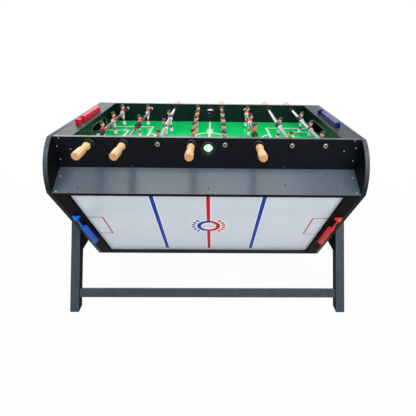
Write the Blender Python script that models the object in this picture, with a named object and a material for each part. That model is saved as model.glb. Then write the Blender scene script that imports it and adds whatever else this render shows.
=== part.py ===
"""Rotating game table with three playing faces, carried between two A-frames.

The cabinet is a long triangular prism with a notch along each corner. Table football lies
on the upper face, slide hockey on the front lower face and a small billiard bed on the rear
lower face. Each face is modelled as if it lay on top, in a frame whose origin is the turning
axis, and is then turned about the X axis to its place. Units are metres, +Z is up, the floor
is z = 0, X runs along the table and the front is towards -Y.
"""

import math

import bmesh
import bpy
from mathutils import Matrix, Vector

for leftover in list(bpy.data.objects):
    bpy.data.objects.remove(leftover, do_unlink=True)

# Fits between pieces
SEAT_GAP = 0.0003          # between faces that rest on each other
RUNNING_GAP = 0.0003       # round a shaft that turns or slides
OVERRUN = 0.010            # how far a cut runs past the face that it opens
MERGE_DISTANCE = 0.000001

# Cabinet
TABLE_LENGTH = 1.220       # over the outsides of the end panels
FACE_WIDTH = 0.620         # across one playing face, over its two long boards
NOTCH_DEPTH = 0.124        # from a face down to the bottom of the notch beside it
BOARD_THICKNESS = 0.018
PANEL_THICKNESS = 0.018
PANEL_BULGE = 0.029        # how far a panel bows out over a notch
PANEL_ARC_STEPS = 8
FACE_COUNT = 3

# Stand
AXIS_HEIGHT = 0.579        # turning axis above the floor
LEG_SPREAD = 0.360         # from the middle of the table to the middle of a foot
LEG_WIDTH = 0.045          # along the table
LEG_DEPTH = 0.0386         # square to the leg's slope
LEG_TOP_RISE = 0.020       # above the turning axis
PANEL_TO_LEG = 0.0425      # from the end panel to the legs' inner faces
CROSSBAR_HEIGHT = 0.290    # middle of the bar above the floor
CROSSBAR_DEPTH = 0.090
CROSSBAR_THICKNESS = 0.030
STRETCHER_HEIGHT = 0.071
STRETCHER_DEPTH = 0.044
STRETCHER_THICKNESS = 0.020
STRETCHER_SETBACK = 0.004  # behind the outer faces of the legs

# Pivot bracket and clamp knob
BRACKET_THICKNESS = 0.005
BRACKET_DROP = 0.120       # below the turning axis
BRACKET_RISE = 0.016
BRACKET_MARGIN = 0.006     # inside the legs' outer edges
HUB_RADIUS = 0.030
HUB_TO_PANEL = 0.0012
HUB_CHAMFER = 0.003
HUB_SIDES = 16
AXLE_RADIUS = 0.0125
AXLE_INSIDE = 0.020        # past the panel's inner face
KNOB_DROP = 0.085          # below the turning axis
KNOB_BOSS_RADIUS = 0.010
KNOB_BOSS_LENGTH = 0.020
KNOB_SHAFT_RADIUS = 0.005
KNOB_PAD_RADIUS = 0.009
KNOB_PAD_THICKNESS = 0.005
KNOB_RADIUS = 0.024
KNOB_THICKNESS = 0.018
KNOB_HUB_RADIUS = 0.011
KNOB_TO_LEG = 0.003
KNOB_LOBES = 5
KNOB_LOBE_SHARE = 0.14     # of the knob's radius
KNOB_STEPS = 20

# Football face
FIELD_DEPTH = 0.095        # from the rim down to the field
FIELD_THICKNESS = 0.009
END_RAIL_WIDTH = 0.072     # from the end panel to the inner end wall
RAIL_THICKNESS = 0.018
END_WALL_THICKNESS = 0.018
GOAL_WIDTH = 0.200
GOAL_TOP_DEPTH = 0.025     # below the rim
GOAL_CORNER = 0.020
GOAL_CHEEK = 0.006
GOAL_ARC_STEPS = 4
ENTRY_DEPTH = 0.043        # middle of the ball entry below the rim
ENTRY_RADIUS = 0.019
ENTRY_RING_RADIUS = 0.028
ENTRY_RING_HEIGHT = 0.003
ENTRY_CHAMFER = 0.002
ENTRY_SIDES = 14

# Rods
ROD_DEPTH = 0.0265         # rod axis below the rim
TUBE_RADIUS = 0.0079
INNER_ROD_RADIUS = 0.0060
FLANGE_RADIUS = 0.020
FLANGE_OUTSIDE = 0.008
FLANGE_INSIDE = 0.006
FLANGE_CHAMFER = 0.003
CAP_RADIUS = 0.010
CAP_HEIGHT = 0.006
CAP_ROUNDING = 0.002
CAP_RECESS_RADIUS = 0.004
COLLAR_RADIUS = 0.008
COLLAR_LENGTH = 0.006
PUSH_TRAVEL = 0.015        # how far a rod still goes in from its rest
ROD_ENGAGED = 0.053        # of the longest travel's inner bar, still in its tube
BORE_SPARE = 0.010         # behind the inner bar when a rod is pushed in
BUMPER_RADIUS = 0.0125
BUMPER_LENGTH = 0.030
THIN_BUMPER_LENGTH = 0.014
HANDLE_REACH = 0.140       # outer end of a handle from the wall
HANDLE_GAP = 0.024         # inner end of a handle from the wall
HANDLE_END_WALL = 0.012
HANDLE_COLLAR_RADIUS = 0.0150
HANDLE_NECK_RADIUS = 0.0118
HANDLE_BARREL_RADIUS = 0.0160
HANDLE_SIDES = 8
ROD_SIDES = 8
FLANGE_SIDES = 12

# Where the handle's outline turns, as a share of its length from the inner end, with the
# radius that it has there
HANDLE_OUTLINE_SHARES = (
    (0.00, HANDLE_NECK_RADIUS),
    (0.03, HANDLE_COLLAR_RADIUS),
    (0.13, HANDLE_COLLAR_RADIUS),
    (0.19, HANDLE_NECK_RADIUS),
    (0.27, HANDLE_NECK_RADIUS),
    (0.55, HANDLE_BARREL_RADIUS),
    (0.95, HANDLE_BARREL_RADIUS),
    (1.00, HANDLE_NECK_RADIUS),
)

# Players
PLAYER_BELOW_ROD = 0.060
PLAYER_ABOVE_ROD = 0.044
PLAYER_WIDTH = 0.024
PLAYER_THICKNESS = 0.022

# From one player to the next, as a share of half the width between the long walls, for
# each number of players on a rod
PLAYER_SPACING_SHARES = {2: 0.7329, 3: 0.5651, 5: 0.3699}

# A player from foot to crown: share of the height, then of half the width, of half the
# thickness, and of half the thickness that the section stands forward
PLAYER_SECTION_SHARES = (
    (0.00, 0.78, 0.90, 0.30),
    (0.09, 0.80, 0.95, 0.25),
    (0.15, 0.56, 0.62, 0.00),
    (0.43, 0.84, 0.84, 0.00),
    (0.70, 1.00, 1.00, 0.00),
    (0.77, 0.42, 0.48, 0.00),
    (0.82, 0.66, 0.74, 0.06),
    (0.91, 0.72, 0.80, 0.02),
    (1.00, 0.38, 0.44, -0.04),
)
PLAYER_CORNER_SHARE = 0.5  # of each half side, where a section's cut corners start

# Rods from left to right: player count, how far the players stand from the middle, away
# from the handle, as a share of half the width between the long walls, and whether the
# handle is at the front
ROD_SHARES = (
    (3, 0.0719, True),
    (2, 0.2808, True),
    (3, 0.3082, False),
    (5, -0.0890, True),
    (5, 0.1404, False),
    (3, 0.0719, True),
    (2, 0.5137, False),
    (3, 0.3116, False),
)

# Hockey face
HOCKEY_RECESS = 0.015
HOCKEY_FIELD_THICKNESS = 0.009
HOCKEY_END_WIDTH = 0.052
HOCKEY_GOAL_WIDTH = 0.150
HOCKEY_GOAL_DEPTH = 0.030
HOCKEY_GOAL_COVER = 0.004

# Billiard face
CUSHION_DEPTH = 0.036
CUSHION_SIDE_WIDTH = 0.032
CUSHION_UNDERCUT = 0.010
BED_THICKNESS = 0.012
POCKET_RADIUS = 0.022
POCKET_WALL = 0.002
POCKET_DEPTH = 0.045       # below the bed's upper face
POCKET_SIDES = 10
CORNER_POCKET_OFFSET = 0.004
SIDE_POCKET_OFFSET = 0.006

# Bead scorers
SCORER_LENGTH = 0.260
SCORER_BLOCK_LENGTH = 0.012
SCORER_WIDTH = 0.022
SCORER_HEIGHT = 0.024
SCORER_BAR_RADIUS = 0.003
SCORER_BAR_HEIGHT = 0.013
SCORER_BAR_SIDES = 6
FOOTBALL_SCORER_SHIFT = -0.020
FOOTBALL_SCORER_INSET = 0.057   # from the outside of the end panel
HOCKEY_SCORER_INSET = 0.040
BEAD_STACK_LENGTH = 0.188
BEAD_COUNT = 10
BEAD_GROOVE = 0.0012
ARCH_STEPS = 4

# Sizes that follow from the ones above
HALF_LENGTH = TABLE_LENGTH / 2
HALF_FACE = FACE_WIDTH / 2
PANEL_INSIDE = HALF_LENGTH - PANEL_THICKNESS
BOARD_END = PANEL_INSIDE - SEAT_GAP
FACE_ANGLE = 2 * math.pi / FACE_COUNT
APOTHEM = NOTCH_DEPTH + HALF_FACE * math.tan(FACE_ANGLE / 4)
WALL_INSIDE = HALF_FACE - BOARD_THICKNESS
FIELD_SIDE = WALL_INSIDE - SEAT_GAP
LEG_INSIDE = HALF_LENGTH + PANEL_TO_LEG
LEG_OUTSIDE = LEG_INSIDE + LEG_WIDTH
LEG_SLOPE = math.atan2(LEG_SPREAD, AXIS_HEIGHT)
LEG_HALF_SPAN = LEG_DEPTH / 2 / math.cos(LEG_SLOPE)
PLAYER_HEIGHT = PLAYER_BELOW_ROD + PLAYER_ABOVE_ROD
ROD_Z = APOTHEM - ROD_DEPTH
TUBE_FAR_END = WALL_INSIDE - COLLAR_LENGTH - PUSH_TRAVEL - RUNNING_GAP
PLAYER_SPACING = {
    count: share * WALL_INSIDE for count, share in PLAYER_SPACING_SHARES.items()
}
RODS = tuple((count, share * WALL_INSIDE, in_front) for count, share, in_front in ROD_SHARES)
END_WALL_FACE = PANEL_INSIDE - END_RAIL_WIDTH
ROD_SPACING = 2 * END_WALL_FACE / len(RODS)


def make_material(name, colour, roughness, metallic=0.0):
    material = bpy.data.materials.new(name)
    material.use_nodes = True
    shader = material.node_tree.nodes["Principled BSDF"]
    shader.inputs["Base Color"].default_value = (*colour, 1.0)
    shader.inputs["Roughness"].default_value = roughness
    shader.inputs["Metallic"].default_value = metallic
    material.diffuse_color = (*colour, 1.0)
    return material


MATERIALS = {
    "black_board": make_material("black_board", (0.035, 0.040, 0.045), 0.35),
    "grey_board": make_material("grey_board", (0.110, 0.130, 0.150), 0.40),
    "green_board": make_material("green_board", (0.010, 0.060, 0.035), 0.40),
    "football_green": make_material("football_green", (0.020, 0.550, 0.180), 0.30),
    "ice_white": make_material("ice_white", (0.600, 0.640, 0.740), 0.25),
    "billiard_cloth": make_material("billiard_cloth", (0.020, 0.250, 0.080), 0.90),
    "black_metal": make_material("black_metal", (0.030, 0.030, 0.032), 0.40, 0.8),
    "chrome": make_material("chrome", (0.750, 0.760, 0.780), 0.15, 1.0),
    "pine": make_material("pine", (0.750, 0.480, 0.240), 0.45),
    "black_plastic": make_material("black_plastic", (0.020, 0.020, 0.020), 0.45),
    "red_plastic": make_material("red_plastic", (0.650, 0.020, 0.025), 0.25),
    "blue_plastic": make_material("blue_plastic", (0.020, 0.080, 0.500), 0.25),
}


def point_on(axis, along, first, second):
    """A point from its place along an axis and its two places across it, in X, Y, Z order."""
    if axis == "X":
        return Vector((along, first, second))
    if axis == "Y":
        return Vector((first, along, second))
    return Vector((first, second, along))


def make_object(name, shape, material=None):
    bmesh.ops.remove_doubles(shape, verts=shape.verts, dist=MERGE_DISTANCE)
    bmesh.ops.recalc_face_normals(shape, faces=shape.faces)
    mesh = bpy.data.meshes.new(name)
    shape.to_mesh(mesh)
    shape.free()
    piece = bpy.data.objects.new(name, mesh)
    bpy.context.collection.objects.link(piece)
    if material:
        mesh.materials.append(MATERIALS[material])
    return piece


def add_prism(shape, outline, axis, start, end):
    """Extrudes a flat outline along an axis."""
    corners = [shape.verts.new(point_on(axis, start, *corner)) for corner in outline]
    base = shape.faces.new(corners)
    grown = bmesh.ops.extrude_face_region(shape, geom=[base])
    moved = [item for item in grown["geom"] if isinstance(item, bmesh.types.BMVert)]
    bmesh.ops.translate(shape, verts=moved, vec=point_on(axis, end - start, 0, 0))


def add_box(shape, low, high):
    outline = [(low[1], low[2]), (high[1], low[2]), (high[1], high[2]), (low[1], high[2])]
    add_prism(shape, outline, "X", low[0], high[0])


def add_turned(shape, profile, axis, centre, sides):
    """Spins a profile of (radius, place along the axis) points once round the axis.

    The profile starts and ends on the axis, or closes on itself.
    """
    verts = [shape.verts.new(centre + point_on(axis, along, radius, 0))
             for radius, along in profile]
    edges = [shape.edges.new(pair) for pair in zip(verts, verts[1:])]
    if profile[0][0] > 0:
        edges.append(shape.edges.new((verts[-1], verts[0])))
    bmesh.ops.spin(shape, geom=verts + edges, cent=centre, axis=point_on(axis, 1, 0, 0),
                   angle=2 * math.pi, steps=sides, use_merge=False, use_duplicate=False)
    bmesh.ops.remove_doubles(shape, verts=shape.verts, dist=MERGE_DISTANCE)


def add_cylinder(shape, radius, start, end, axis, centre, sides):
    add_turned(shape, [(0, start), (radius, start), (radius, end), (0, end)],
               axis, centre, sides)


def add_loft(shape, rings):
    """Skins rings that have the same number of points, and caps both ends."""
    loops = []
    for ring in rings:
        verts = [shape.verts.new(place) for place in ring]
        loops.append([shape.edges.new(pair) for pair in zip(verts, verts[1:] + verts[:1])])
    for lower, upper in zip(loops, loops[1:]):
        bmesh.ops.bridge_loops(shape, edges=lower + upper)
    for end in (loops[0], loops[-1]):
        bmesh.ops.contextual_create(shape, geom=end)


def bore_radius(shaft_radius, gap, sides):
    """Corner radius of a faceted bore whose flats clear a shaft by the gap."""
    return (shaft_radius + gap) / math.cos(math.pi / sides)


def combine(piece, tool, operation):
    """Joins the tool to the piece or cuts it away, and removes the tool."""
    boolean = piece.modifiers.new("combine", "BOOLEAN")
    boolean.operation = operation
    boolean.solver = "EXACT"
    boolean.object = tool
    bpy.context.view_layer.update()
    evaluated = piece.evaluated_get(bpy.context.evaluated_depsgraph_get())
    result = bpy.data.meshes.new_from_object(evaluated)
    piece.modifiers.clear()
    piece.data = result
    bpy.data.objects.remove(tool, do_unlink=True)


def join(piece, tool_shape):
    combine(piece, make_object("tool", tool_shape), "UNION")


def cut(piece, tool_shape):
    combine(piece, make_object("tool", tool_shape), "DIFFERENCE")


def smooth_round_sides(piece):
    piece.data.shade_smooth()
    piece.data.set_sharp_from_angle(angle=math.radians(40))


def place_on_face(piece, face):
    """Turns a piece that was modelled on the upper face to its own face of the cabinet."""
    lift = Matrix.Translation((0, 0, AXIS_HEIGHT))
    piece.matrix_world = lift @ Matrix.Rotation(face * FACE_ANGLE, 4, "X") @ piece.matrix_world


def leg_y(height, side):
    """Place across the table of a leg's edge: side -1 is its outer edge, +1 its inner."""
    middle = -(AXIS_HEIGHT - height) * math.tan(LEG_SLOPE)
    return middle + side * LEG_HALF_SPAN


def build_legs():
    top = AXIS_HEIGHT + LEG_TOP_RISE
    meeting = -SEAT_GAP / 2
    crotch = AXIS_HEIGHT - (LEG_HALF_SPAN - meeting) / math.tan(LEG_SLOPE)
    outline = [(leg_y(0, -1), 0), (leg_y(0, 1), 0), (meeting, crotch), (meeting, top),
               (leg_y(top, -1), top)]
    for side_name, x_side in (("left", -1), ("right", 1)):
        for end_name, y_side in (("front", 1), ("rear", -1)):
            shape = bmesh.new()
            add_prism(shape, [(y * y_side, z) for y, z in outline], "X",
                      x_side * LEG_INSIDE, x_side * LEG_OUTSIDE)
            make_object(f"leg_{side_name}_{end_name}", shape, "grey_board")


def build_crossbars():
    low = CROSSBAR_HEIGHT - CROSSBAR_DEPTH / 2
    high = CROSSBAR_HEIGHT + CROSSBAR_DEPTH / 2
    fit = SEAT_GAP / math.cos(LEG_SLOPE)
    low_end = -leg_y(low, 1) - fit
    high_end = -leg_y(high, 1) - fit
    outline = [(-low_end, low), (low_end, low), (high_end, high), (-high_end, high)]
    for side_name, x_side in (("left", -1), ("right", 1)):
        shape = bmesh.new()
        add_prism(shape, outline, "X", x_side * LEG_INSIDE,
                  x_side * (LEG_INSIDE + CROSSBAR_THICKNESS))
        make_object(f"crossbar_{side_name}", shape, "grey_board")


def build_stretchers():
    """Bars between the A-frames, tilted with the legs and near their outer faces."""
    outer = -LEG_DEPTH / 2 + STRETCHER_SETBACK
    inner = outer + STRETCHER_THICKNESS
    across = Vector((math.cos(LEG_SLOPE), -math.sin(LEG_SLOPE)))
    along = Vector((math.sin(LEG_SLOPE), math.cos(LEG_SLOPE)))
    middle = Vector((leg_y(STRETCHER_HEIGHT, 0), STRETCHER_HEIGHT))
    half = STRETCHER_DEPTH / 2
    outline = [middle + across * u + along * v
               for u, v in ((outer, -half), (inner, -half), (inner, half), (outer, half))]
    reach = LEG_INSIDE - SEAT_GAP
    for end_name, y_side in (("front", 1), ("rear", -1)):
        shape = bmesh.new()
        add_prism(shape, [(y * y_side, z) for y, z in outline], "X", -reach, reach)
        make_object(f"stretcher_{end_name}", shape, "grey_board")


def build_pivot_bracket(side_name, x_side):
    """Plate across the top of an A-frame, with the hub and stub axle that carry the cabinet."""
    high = AXIS_HEIGHT + BRACKET_RISE
    low = AXIS_HEIGHT - BRACKET_DROP
    high_half = -leg_y(high, -1)
    low_half = -leg_y(low, -1) - BRACKET_MARGIN
    outline = [(-low_half, low), (low_half, low), (high_half, high), (-high_half, high)]
    back = LEG_INSIDE - SEAT_GAP
    front = back - BRACKET_THICKNESS
    hub_end = HALF_LENGTH + HUB_TO_PANEL
    axle_end = PANEL_INSIDE - AXLE_INSIDE
    shape = bmesh.new()
    add_prism(shape, outline, "X", x_side * front, x_side * back)
    bracket = make_object(f"pivot_bracket_{side_name}", shape, "black_metal")

    axis_centre = Vector((0, 0, AXIS_HEIGHT))
    knob_centre = Vector((0, 0, AXIS_HEIGHT - KNOB_DROP))
    inside_plate = (front + back) / 2
    hub = bmesh.new()
    profile = [(0, axle_end), (AXLE_RADIUS, axle_end), (AXLE_RADIUS, hub_end),
               (HUB_RADIUS - HUB_CHAMFER, hub_end), (HUB_RADIUS, hub_end + HUB_CHAMFER),
               (HUB_RADIUS, inside_plate), (0, inside_plate)]
    add_turned(hub, [(radius, x_side * x) for radius, x in profile], "X", axis_centre,
               HUB_SIDES)
    boss_end = front - KNOB_BOSS_LENGTH
    add_cylinder(hub, KNOB_BOSS_RADIUS, x_side * boss_end, x_side * inside_plate, "X",
                 knob_centre, FLANGE_SIDES)
    join(bracket, hub)
    hole = bmesh.new()
    hole_radius = bore_radius(KNOB_SHAFT_RADIUS, RUNNING_GAP, FLANGE_SIDES)
    add_cylinder(hole, hole_radius, x_side * (boss_end - OVERRUN),
                 x_side * (back + OVERRUN), "X", knob_centre, FLANGE_SIDES)
    cut(bracket, hole)
    smooth_round_sides(bracket)


def knob_outline():
    """Five-lobed hand knob: the radius rises and falls with the angle."""
    outline = []
    for step in range(KNOB_STEPS):
        angle = 2 * math.pi * step / KNOB_STEPS
        radius = KNOB_RADIUS * (1 - KNOB_LOBE_SHARE * (1 - math.cos(KNOB_LOBES * angle)) / 2)
        outline.append((radius * math.cos(angle), radius * math.sin(angle)))
    return outline


def build_lock_knob(side_name, x_side):
    """Clamp screw whose pad lies on the end panel. Its origin is on its own axis."""
    pad = HALF_LENGTH + SEAT_GAP
    pad_end = pad + KNOB_PAD_THICKNESS
    knob_start = LEG_OUTSIDE + KNOB_TO_LEG
    knob_end = knob_start + KNOB_THICKNESS
    hub_start = LEG_INSIDE + SEAT_GAP
    profile = [(0, pad), (KNOB_PAD_RADIUS, pad), (KNOB_PAD_RADIUS, pad_end),
               (KNOB_SHAFT_RADIUS, pad_end), (KNOB_SHAFT_RADIUS, hub_start),
               (KNOB_HUB_RADIUS, hub_start), (KNOB_HUB_RADIUS, (knob_start + knob_end) / 2),
               (0, (knob_start + knob_end) / 2)]
    shape = bmesh.new()
    add_turned(shape, [(radius, x_side * x) for radius, x in profile], "X", Vector(),
               FLANGE_SIDES)
    knob = make_object(f"lock_knob_{side_name}", shape, "black_plastic")
    grip = bmesh.new()
    add_prism(grip, knob_outline(), "X", x_side * knob_start, x_side * knob_end)
    join(knob, grip)
    smooth_round_sides(knob)
    knob.location = (0, 0, AXIS_HEIGHT - KNOB_DROP)


def panel_outline():
    """Straight edge along each face, and an arc of the stated bulge across each notch."""
    first = Vector((HALF_FACE, APOTHEM))
    corners = []
    for face in range(FACE_COUNT):
        turn = Matrix.Rotation(face * FACE_ANGLE, 2)
        corners += [turn @ first, turn @ Vector((-HALF_FACE, APOTHEM))]
    outline = []
    for face in range(FACE_COUNT):
        start = corners[2 * face + 1]
        end = corners[(2 * face + 2) % len(corners)]
        chord = end - start
        middle = (start + end) / 2
        outward = middle.normalized()
        radius = (chord.length ** 2 / 4 + PANEL_BULGE ** 2) / (2 * PANEL_BULGE)
        centre = middle - outward * (radius - PANEL_BULGE)
        half_angle = math.asin(chord.length / 2 / radius)
        outline.append(corners[2 * face])
        for step in range(PANEL_ARC_STEPS + 1):
            angle = half_angle * (2 * step / PANEL_ARC_STEPS - 1)
            outline.append(centre + radius * (outward * math.cos(angle)
                                              + chord.normalized() * math.sin(angle)))
    return outline


def build_end_panel(side_name, x_side):
    shape = bmesh.new()
    add_prism(shape, panel_outline(), "X", x_side * PANEL_INSIDE, x_side * HALF_LENGTH)
    panel = make_object(f"end_panel_{side_name}", shape, "black_board")
    hole = bmesh.new()
    hole_radius = bore_radius(AXLE_RADIUS, RUNNING_GAP, HUB_SIDES)
    add_cylinder(hole, hole_radius, x_side * (PANEL_INSIDE - OVERRUN),
                 x_side * (HALF_LENGTH + OVERRUN), "X", Vector(), HUB_SIDES)
    cut(panel, hole)
    place_on_face(panel, 0)


def board_outline(y_side):
    """Section of a long board: square at the rim, mitred where two boards meet in a notch."""
    mitre_gap = SEAT_GAP / 2 / math.sin(FACE_ANGLE / 2)
    outer_end = APOTHEM - NOTCH_DEPTH + mitre_gap
    inner_end = outer_end - BOARD_THICKNESS / math.tan(FACE_ANGLE / 2)
    outline = [(HALF_FACE, APOTHEM), (WALL_INSIDE, APOTHEM), (WALL_INSIDE, inner_end),
               (HALF_FACE, outer_end)]
    return [(y * y_side, z) for y, z in outline]


def build_board(name, face, y_side, material):
    shape = bmesh.new()
    add_prism(shape, board_outline(y_side), "X", -BOARD_END, BOARD_END)
    board = make_object(name, shape, material)
    return board


def add_flange(shape, centre, y_side, radius, outside, inside, chamfer, sides):
    """Disc through a wall that stands proud of both its faces, chamfered on the outside."""
    outer = HALF_FACE + outside
    inner = WALL_INSIDE - inside
    profile = [(0, inner), (radius, inner), (radius, outer - chamfer),
               (radius - chamfer, outer), (0, outer)]
    add_turned(shape, [(r, y_side * y) for r, y in profile], "Y", centre, sides)


def rod_x(index):
    return (index - (len(RODS) - 1) / 2) * ROD_SPACING


def build_apron(name, y_side):
    """Long wall of the football face with four bearings, four cap holes and a ball entry."""
    apron = build_board(name, 0, y_side, "black_board")
    rings = bmesh.new()
    holes = bmesh.new()
    start = y_side * (WALL_INSIDE - OVERRUN)
    end = y_side * (HALF_FACE + OVERRUN)
    entry = Vector((0, 0, APOTHEM - ENTRY_DEPTH))
    add_flange(rings, entry, y_side, ENTRY_RING_RADIUS, ENTRY_RING_HEIGHT,
               ENTRY_RING_HEIGHT, ENTRY_CHAMFER, ENTRY_SIDES)
    add_cylinder(holes, ENTRY_RADIUS, start, end, "Y", entry, ENTRY_SIDES)
    for index, (_, _, handle_in_front) in enumerate(RODS):
        centre = Vector((rod_x(index), 0, ROD_Z))
        handle_side = -1 if handle_in_front else 1
        shaft_radius = INNER_ROD_RADIUS
        if handle_side == y_side:
            shaft_radius = TUBE_RADIUS
            add_flange(rings, centre, y_side, FLANGE_RADIUS, FLANGE_OUTSIDE, FLANGE_INSIDE,
                       FLANGE_CHAMFER, FLANGE_SIDES)
        add_cylinder(holes, bore_radius(shaft_radius, RUNNING_GAP, ROD_SIDES), start, end,
                     "Y", centre, ROD_SIDES)
    join(apron, rings)
    cut(apron, holes)
    smooth_round_sides(apron)
    place_on_face(apron, 0)


def build_boards():
    build_apron("foosball_front_apron", -1)
    build_apron("foosball_rear_apron", 1)
    for name, face, y_side in (("hockey_upper_board", 1, 1), ("hockey_lower_board", 1, -1),
                               ("billiard_lower_board", 2, 1),
                               ("billiard_upper_board", 2, -1)):
        place_on_face(build_board(name, face, y_side, "black_board"), face)


def build_field(name, face, depth, thickness, material):
    shape = bmesh.new()
    add_box(shape, (-BOARD_END, -FIELD_SIDE, APOTHEM - depth - thickness),
            (BOARD_END, FIELD_SIDE, APOTHEM - depth))
    field = make_object(name, shape, material)
    place_on_face(field, face)


def goal_outline():
    """Goal mouth with round upper corners. It is open at the bottom, on the field."""
    half = GOAL_WIDTH / 2
    top = APOTHEM - GOAL_TOP_DEPTH
    bottom = APOTHEM - FIELD_DEPTH - OVERRUN
    outline = [(-half, bottom), (half, bottom)]
    for step in range(GOAL_ARC_STEPS + 1):
        angle = math.pi / 2 * step / GOAL_ARC_STEPS
        outline.append((half - GOAL_CORNER + GOAL_CORNER * math.cos(angle),
                        top - GOAL_CORNER + GOAL_CORNER * math.sin(angle)))
    for step in range(GOAL_ARC_STEPS + 1):
        angle = math.pi / 2 * (1 + step / GOAL_ARC_STEPS)
        outline.append((GOAL_CORNER - half + GOAL_CORNER * math.cos(angle),
                        top - GOAL_CORNER + GOAL_CORNER * math.sin(angle)))
    return outline


def build_football_end(side_name, x_side):
    """End rail and end wall in one L, with the goal mouth and the two cheeks behind it."""
    wall_face = END_WALL_FACE
    wall_back = wall_face + END_WALL_THICKNESS
    rail_under = APOTHEM - RAIL_THICKNESS
    foot = APOTHEM - FIELD_DEPTH + SEAT_GAP
    section = [(wall_face, APOTHEM), (BOARD_END, APOTHEM), (BOARD_END, rail_under),
               (wall_back, rail_under), (wall_back, foot), (wall_face, foot)]
    shape = bmesh.new()
    add_prism(shape, [(x_side * x, z) for x, z in section], "Y", -FIELD_SIDE, FIELD_SIDE)
    end = make_object(f"foosball_end_{side_name}", shape, "black_board")
    inside_wall = (wall_face + wall_back) / 2
    inside_rail = APOTHEM - RAIL_THICKNESS / 2
    for y_side in (-1, 1):
        cheek = bmesh.new()
        near = y_side * (GOAL_WIDTH / 2 + GOAL_CHEEK)
        far = y_side * (GOAL_WIDTH / 2 - GOAL_CHEEK)
        add_box(cheek, (x_side * inside_wall, near, foot), (x_side * BOARD_END, far,
                                                          inside_rail))
        join(end, cheek)
    mouth = bmesh.new()
    add_prism(mouth, goal_outline(), "X", x_side * (wall_face - OVERRUN),
              x_side * (BOARD_END + OVERRUN))
    cut(end, mouth)
    smooth_round_sides(end)
    place_on_face(end, 0)


def build_hockey_end(side_name, x_side):
    """Flat end rail with a covered goal slot in its inner edge."""
    inner = PANEL_INSIDE - HOCKEY_END_WIDTH
    under = APOTHEM - HOCKEY_RECESS + SEAT_GAP
    shape = bmesh.new()
    add_box(shape, (x_side * inner, -FIELD_SIDE, under), (x_side * BOARD_END, FIELD_SIDE,
                                                         APOTHEM))
    end = make_object(f"hockey_end_{side_name}", shape, "black_board")
    slot = bmesh.new()
    add_box(slot, (x_side * (inner - OVERRUN), -HOCKEY_GOAL_WIDTH / 2, under - OVERRUN),
            (x_side * (inner + HOCKEY_GOAL_DEPTH), HOCKEY_GOAL_WIDTH / 2,
             APOTHEM - HOCKEY_GOAL_COVER))
    cut(end, slot)
    place_on_face(end, 1)


def pocket_centres():
    nose_x = END_WALL_FACE
    nose_y = WALL_INSIDE - CUSHION_SIDE_WIDTH
    centres = []
    for y_side in (-1, 1):
        centres.append((0, y_side * (nose_y + SIDE_POCKET_OFFSET)))
        for x_side in (-1, 1):
            centres.append((x_side * (nose_x + CORNER_POCKET_OFFSET),
                            y_side * (nose_y + CORNER_POCKET_OFFSET)))
    return centres


def rectangle(half_x, half_y, z):
    return [(-half_x, -half_y, z), (half_x, -half_y, z), (half_x, half_y, z),
            (-half_x, half_y, z)]


def build_billiard_face():
    nose_x = END_WALL_FACE
    nose_y = WALL_INSIDE - CUSHION_SIDE_WIDTH
    bed_top = APOTHEM - CUSHION_DEPTH
    under = bed_top + SEAT_GAP
    shape = bmesh.new()
    add_box(shape, (-BOARD_END, -FIELD_SIDE, under), (BOARD_END, FIELD_SIDE, APOTHEM))
    cushions = make_object("billiard_cushions", shape, "billiard_cloth")
    well = bmesh.new()
    add_loft(well, [
        rectangle(nose_x + CUSHION_UNDERCUT, nose_y + CUSHION_UNDERCUT, under - OVERRUN),
        rectangle(nose_x + CUSHION_UNDERCUT, nose_y + CUSHION_UNDERCUT, under),
        rectangle(nose_x, nose_y, APOTHEM - CUSHION_UNDERCUT),
        rectangle(nose_x, nose_y, APOTHEM + OVERRUN),
    ])
    cut(cushions, well)
    mouths = bmesh.new()
    for x, y in pocket_centres():
        add_cylinder(mouths, POCKET_RADIUS, under - OVERRUN, APOTHEM + OVERRUN, "Z",
                     Vector((x, y, 0)), POCKET_SIDES)
    cut(cushions, mouths)
    smooth_round_sides(cushions)
    place_on_face(cushions, 2)

    shape = bmesh.new()
    add_box(shape, (-BOARD_END, -FIELD_SIDE, bed_top - BED_THICKNESS),
            (BOARD_END, FIELD_SIDE, bed_top))
    bed = make_object("billiard_bed", shape, "billiard_cloth")
    cups = bmesh.new()
    hollows = bmesh.new()
    cup_bottom = bed_top - POCKET_DEPTH
    for x, y in pocket_centres():
        centre = Vector((x, y, 0))
        add_cylinder(cups, POCKET_RADIUS + POCKET_WALL, cup_bottom,
                     bed_top - BED_THICKNESS / 2, "Z", centre, POCKET_SIDES)
        add_cylinder(hollows, POCKET_RADIUS, cup_bottom + POCKET_WALL, bed_top + OVERRUN, "Z",
                     centre, POCKET_SIDES)
    join(bed, cups)
    cut(bed, hollows)
    smooth_round_sides(bed)
    place_on_face(bed, 2)


def place_rod_piece(piece, index, handle_in_front):
    """Puts a piece on its rod's axis. The blue team's rods face the other way."""
    turn = 0 if handle_in_front else math.pi
    piece.location = (rod_x(index), 0, AXIS_HEIGHT + ROD_Z)
    piece.rotation_euler = (0, 0, turn)


def player_places(count, offset):
    spacing = PLAYER_SPACING[count]
    return [offset + (number - (count - 1) / 2) * spacing for number in range(count)]


def bumper_face(count, offset):
    """The bumper's end towards the handle. The other end is inside the first player."""
    length = THIN_BUMPER_LENGTH if count == max(PLAYER_SPACING) else BUMPER_LENGTH
    return player_places(count, offset)[0] - PLAYER_WIDTH / 2 - length


def pull_travel(count, offset):
    """How far a rod comes out before its bumper meets the bearing's inner face."""
    return bumper_face(count, offset) + WALL_INSIDE - FLANGE_INSIDE - SEAT_GAP


def inner_rod_tip():
    """End of every inner bar, set by the rod that comes out furthest."""
    longest = max(pull_travel(count, offset) for count, offset, _ in RODS)
    return TUBE_FAR_END - longest - ROD_ENGAGED


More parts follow.
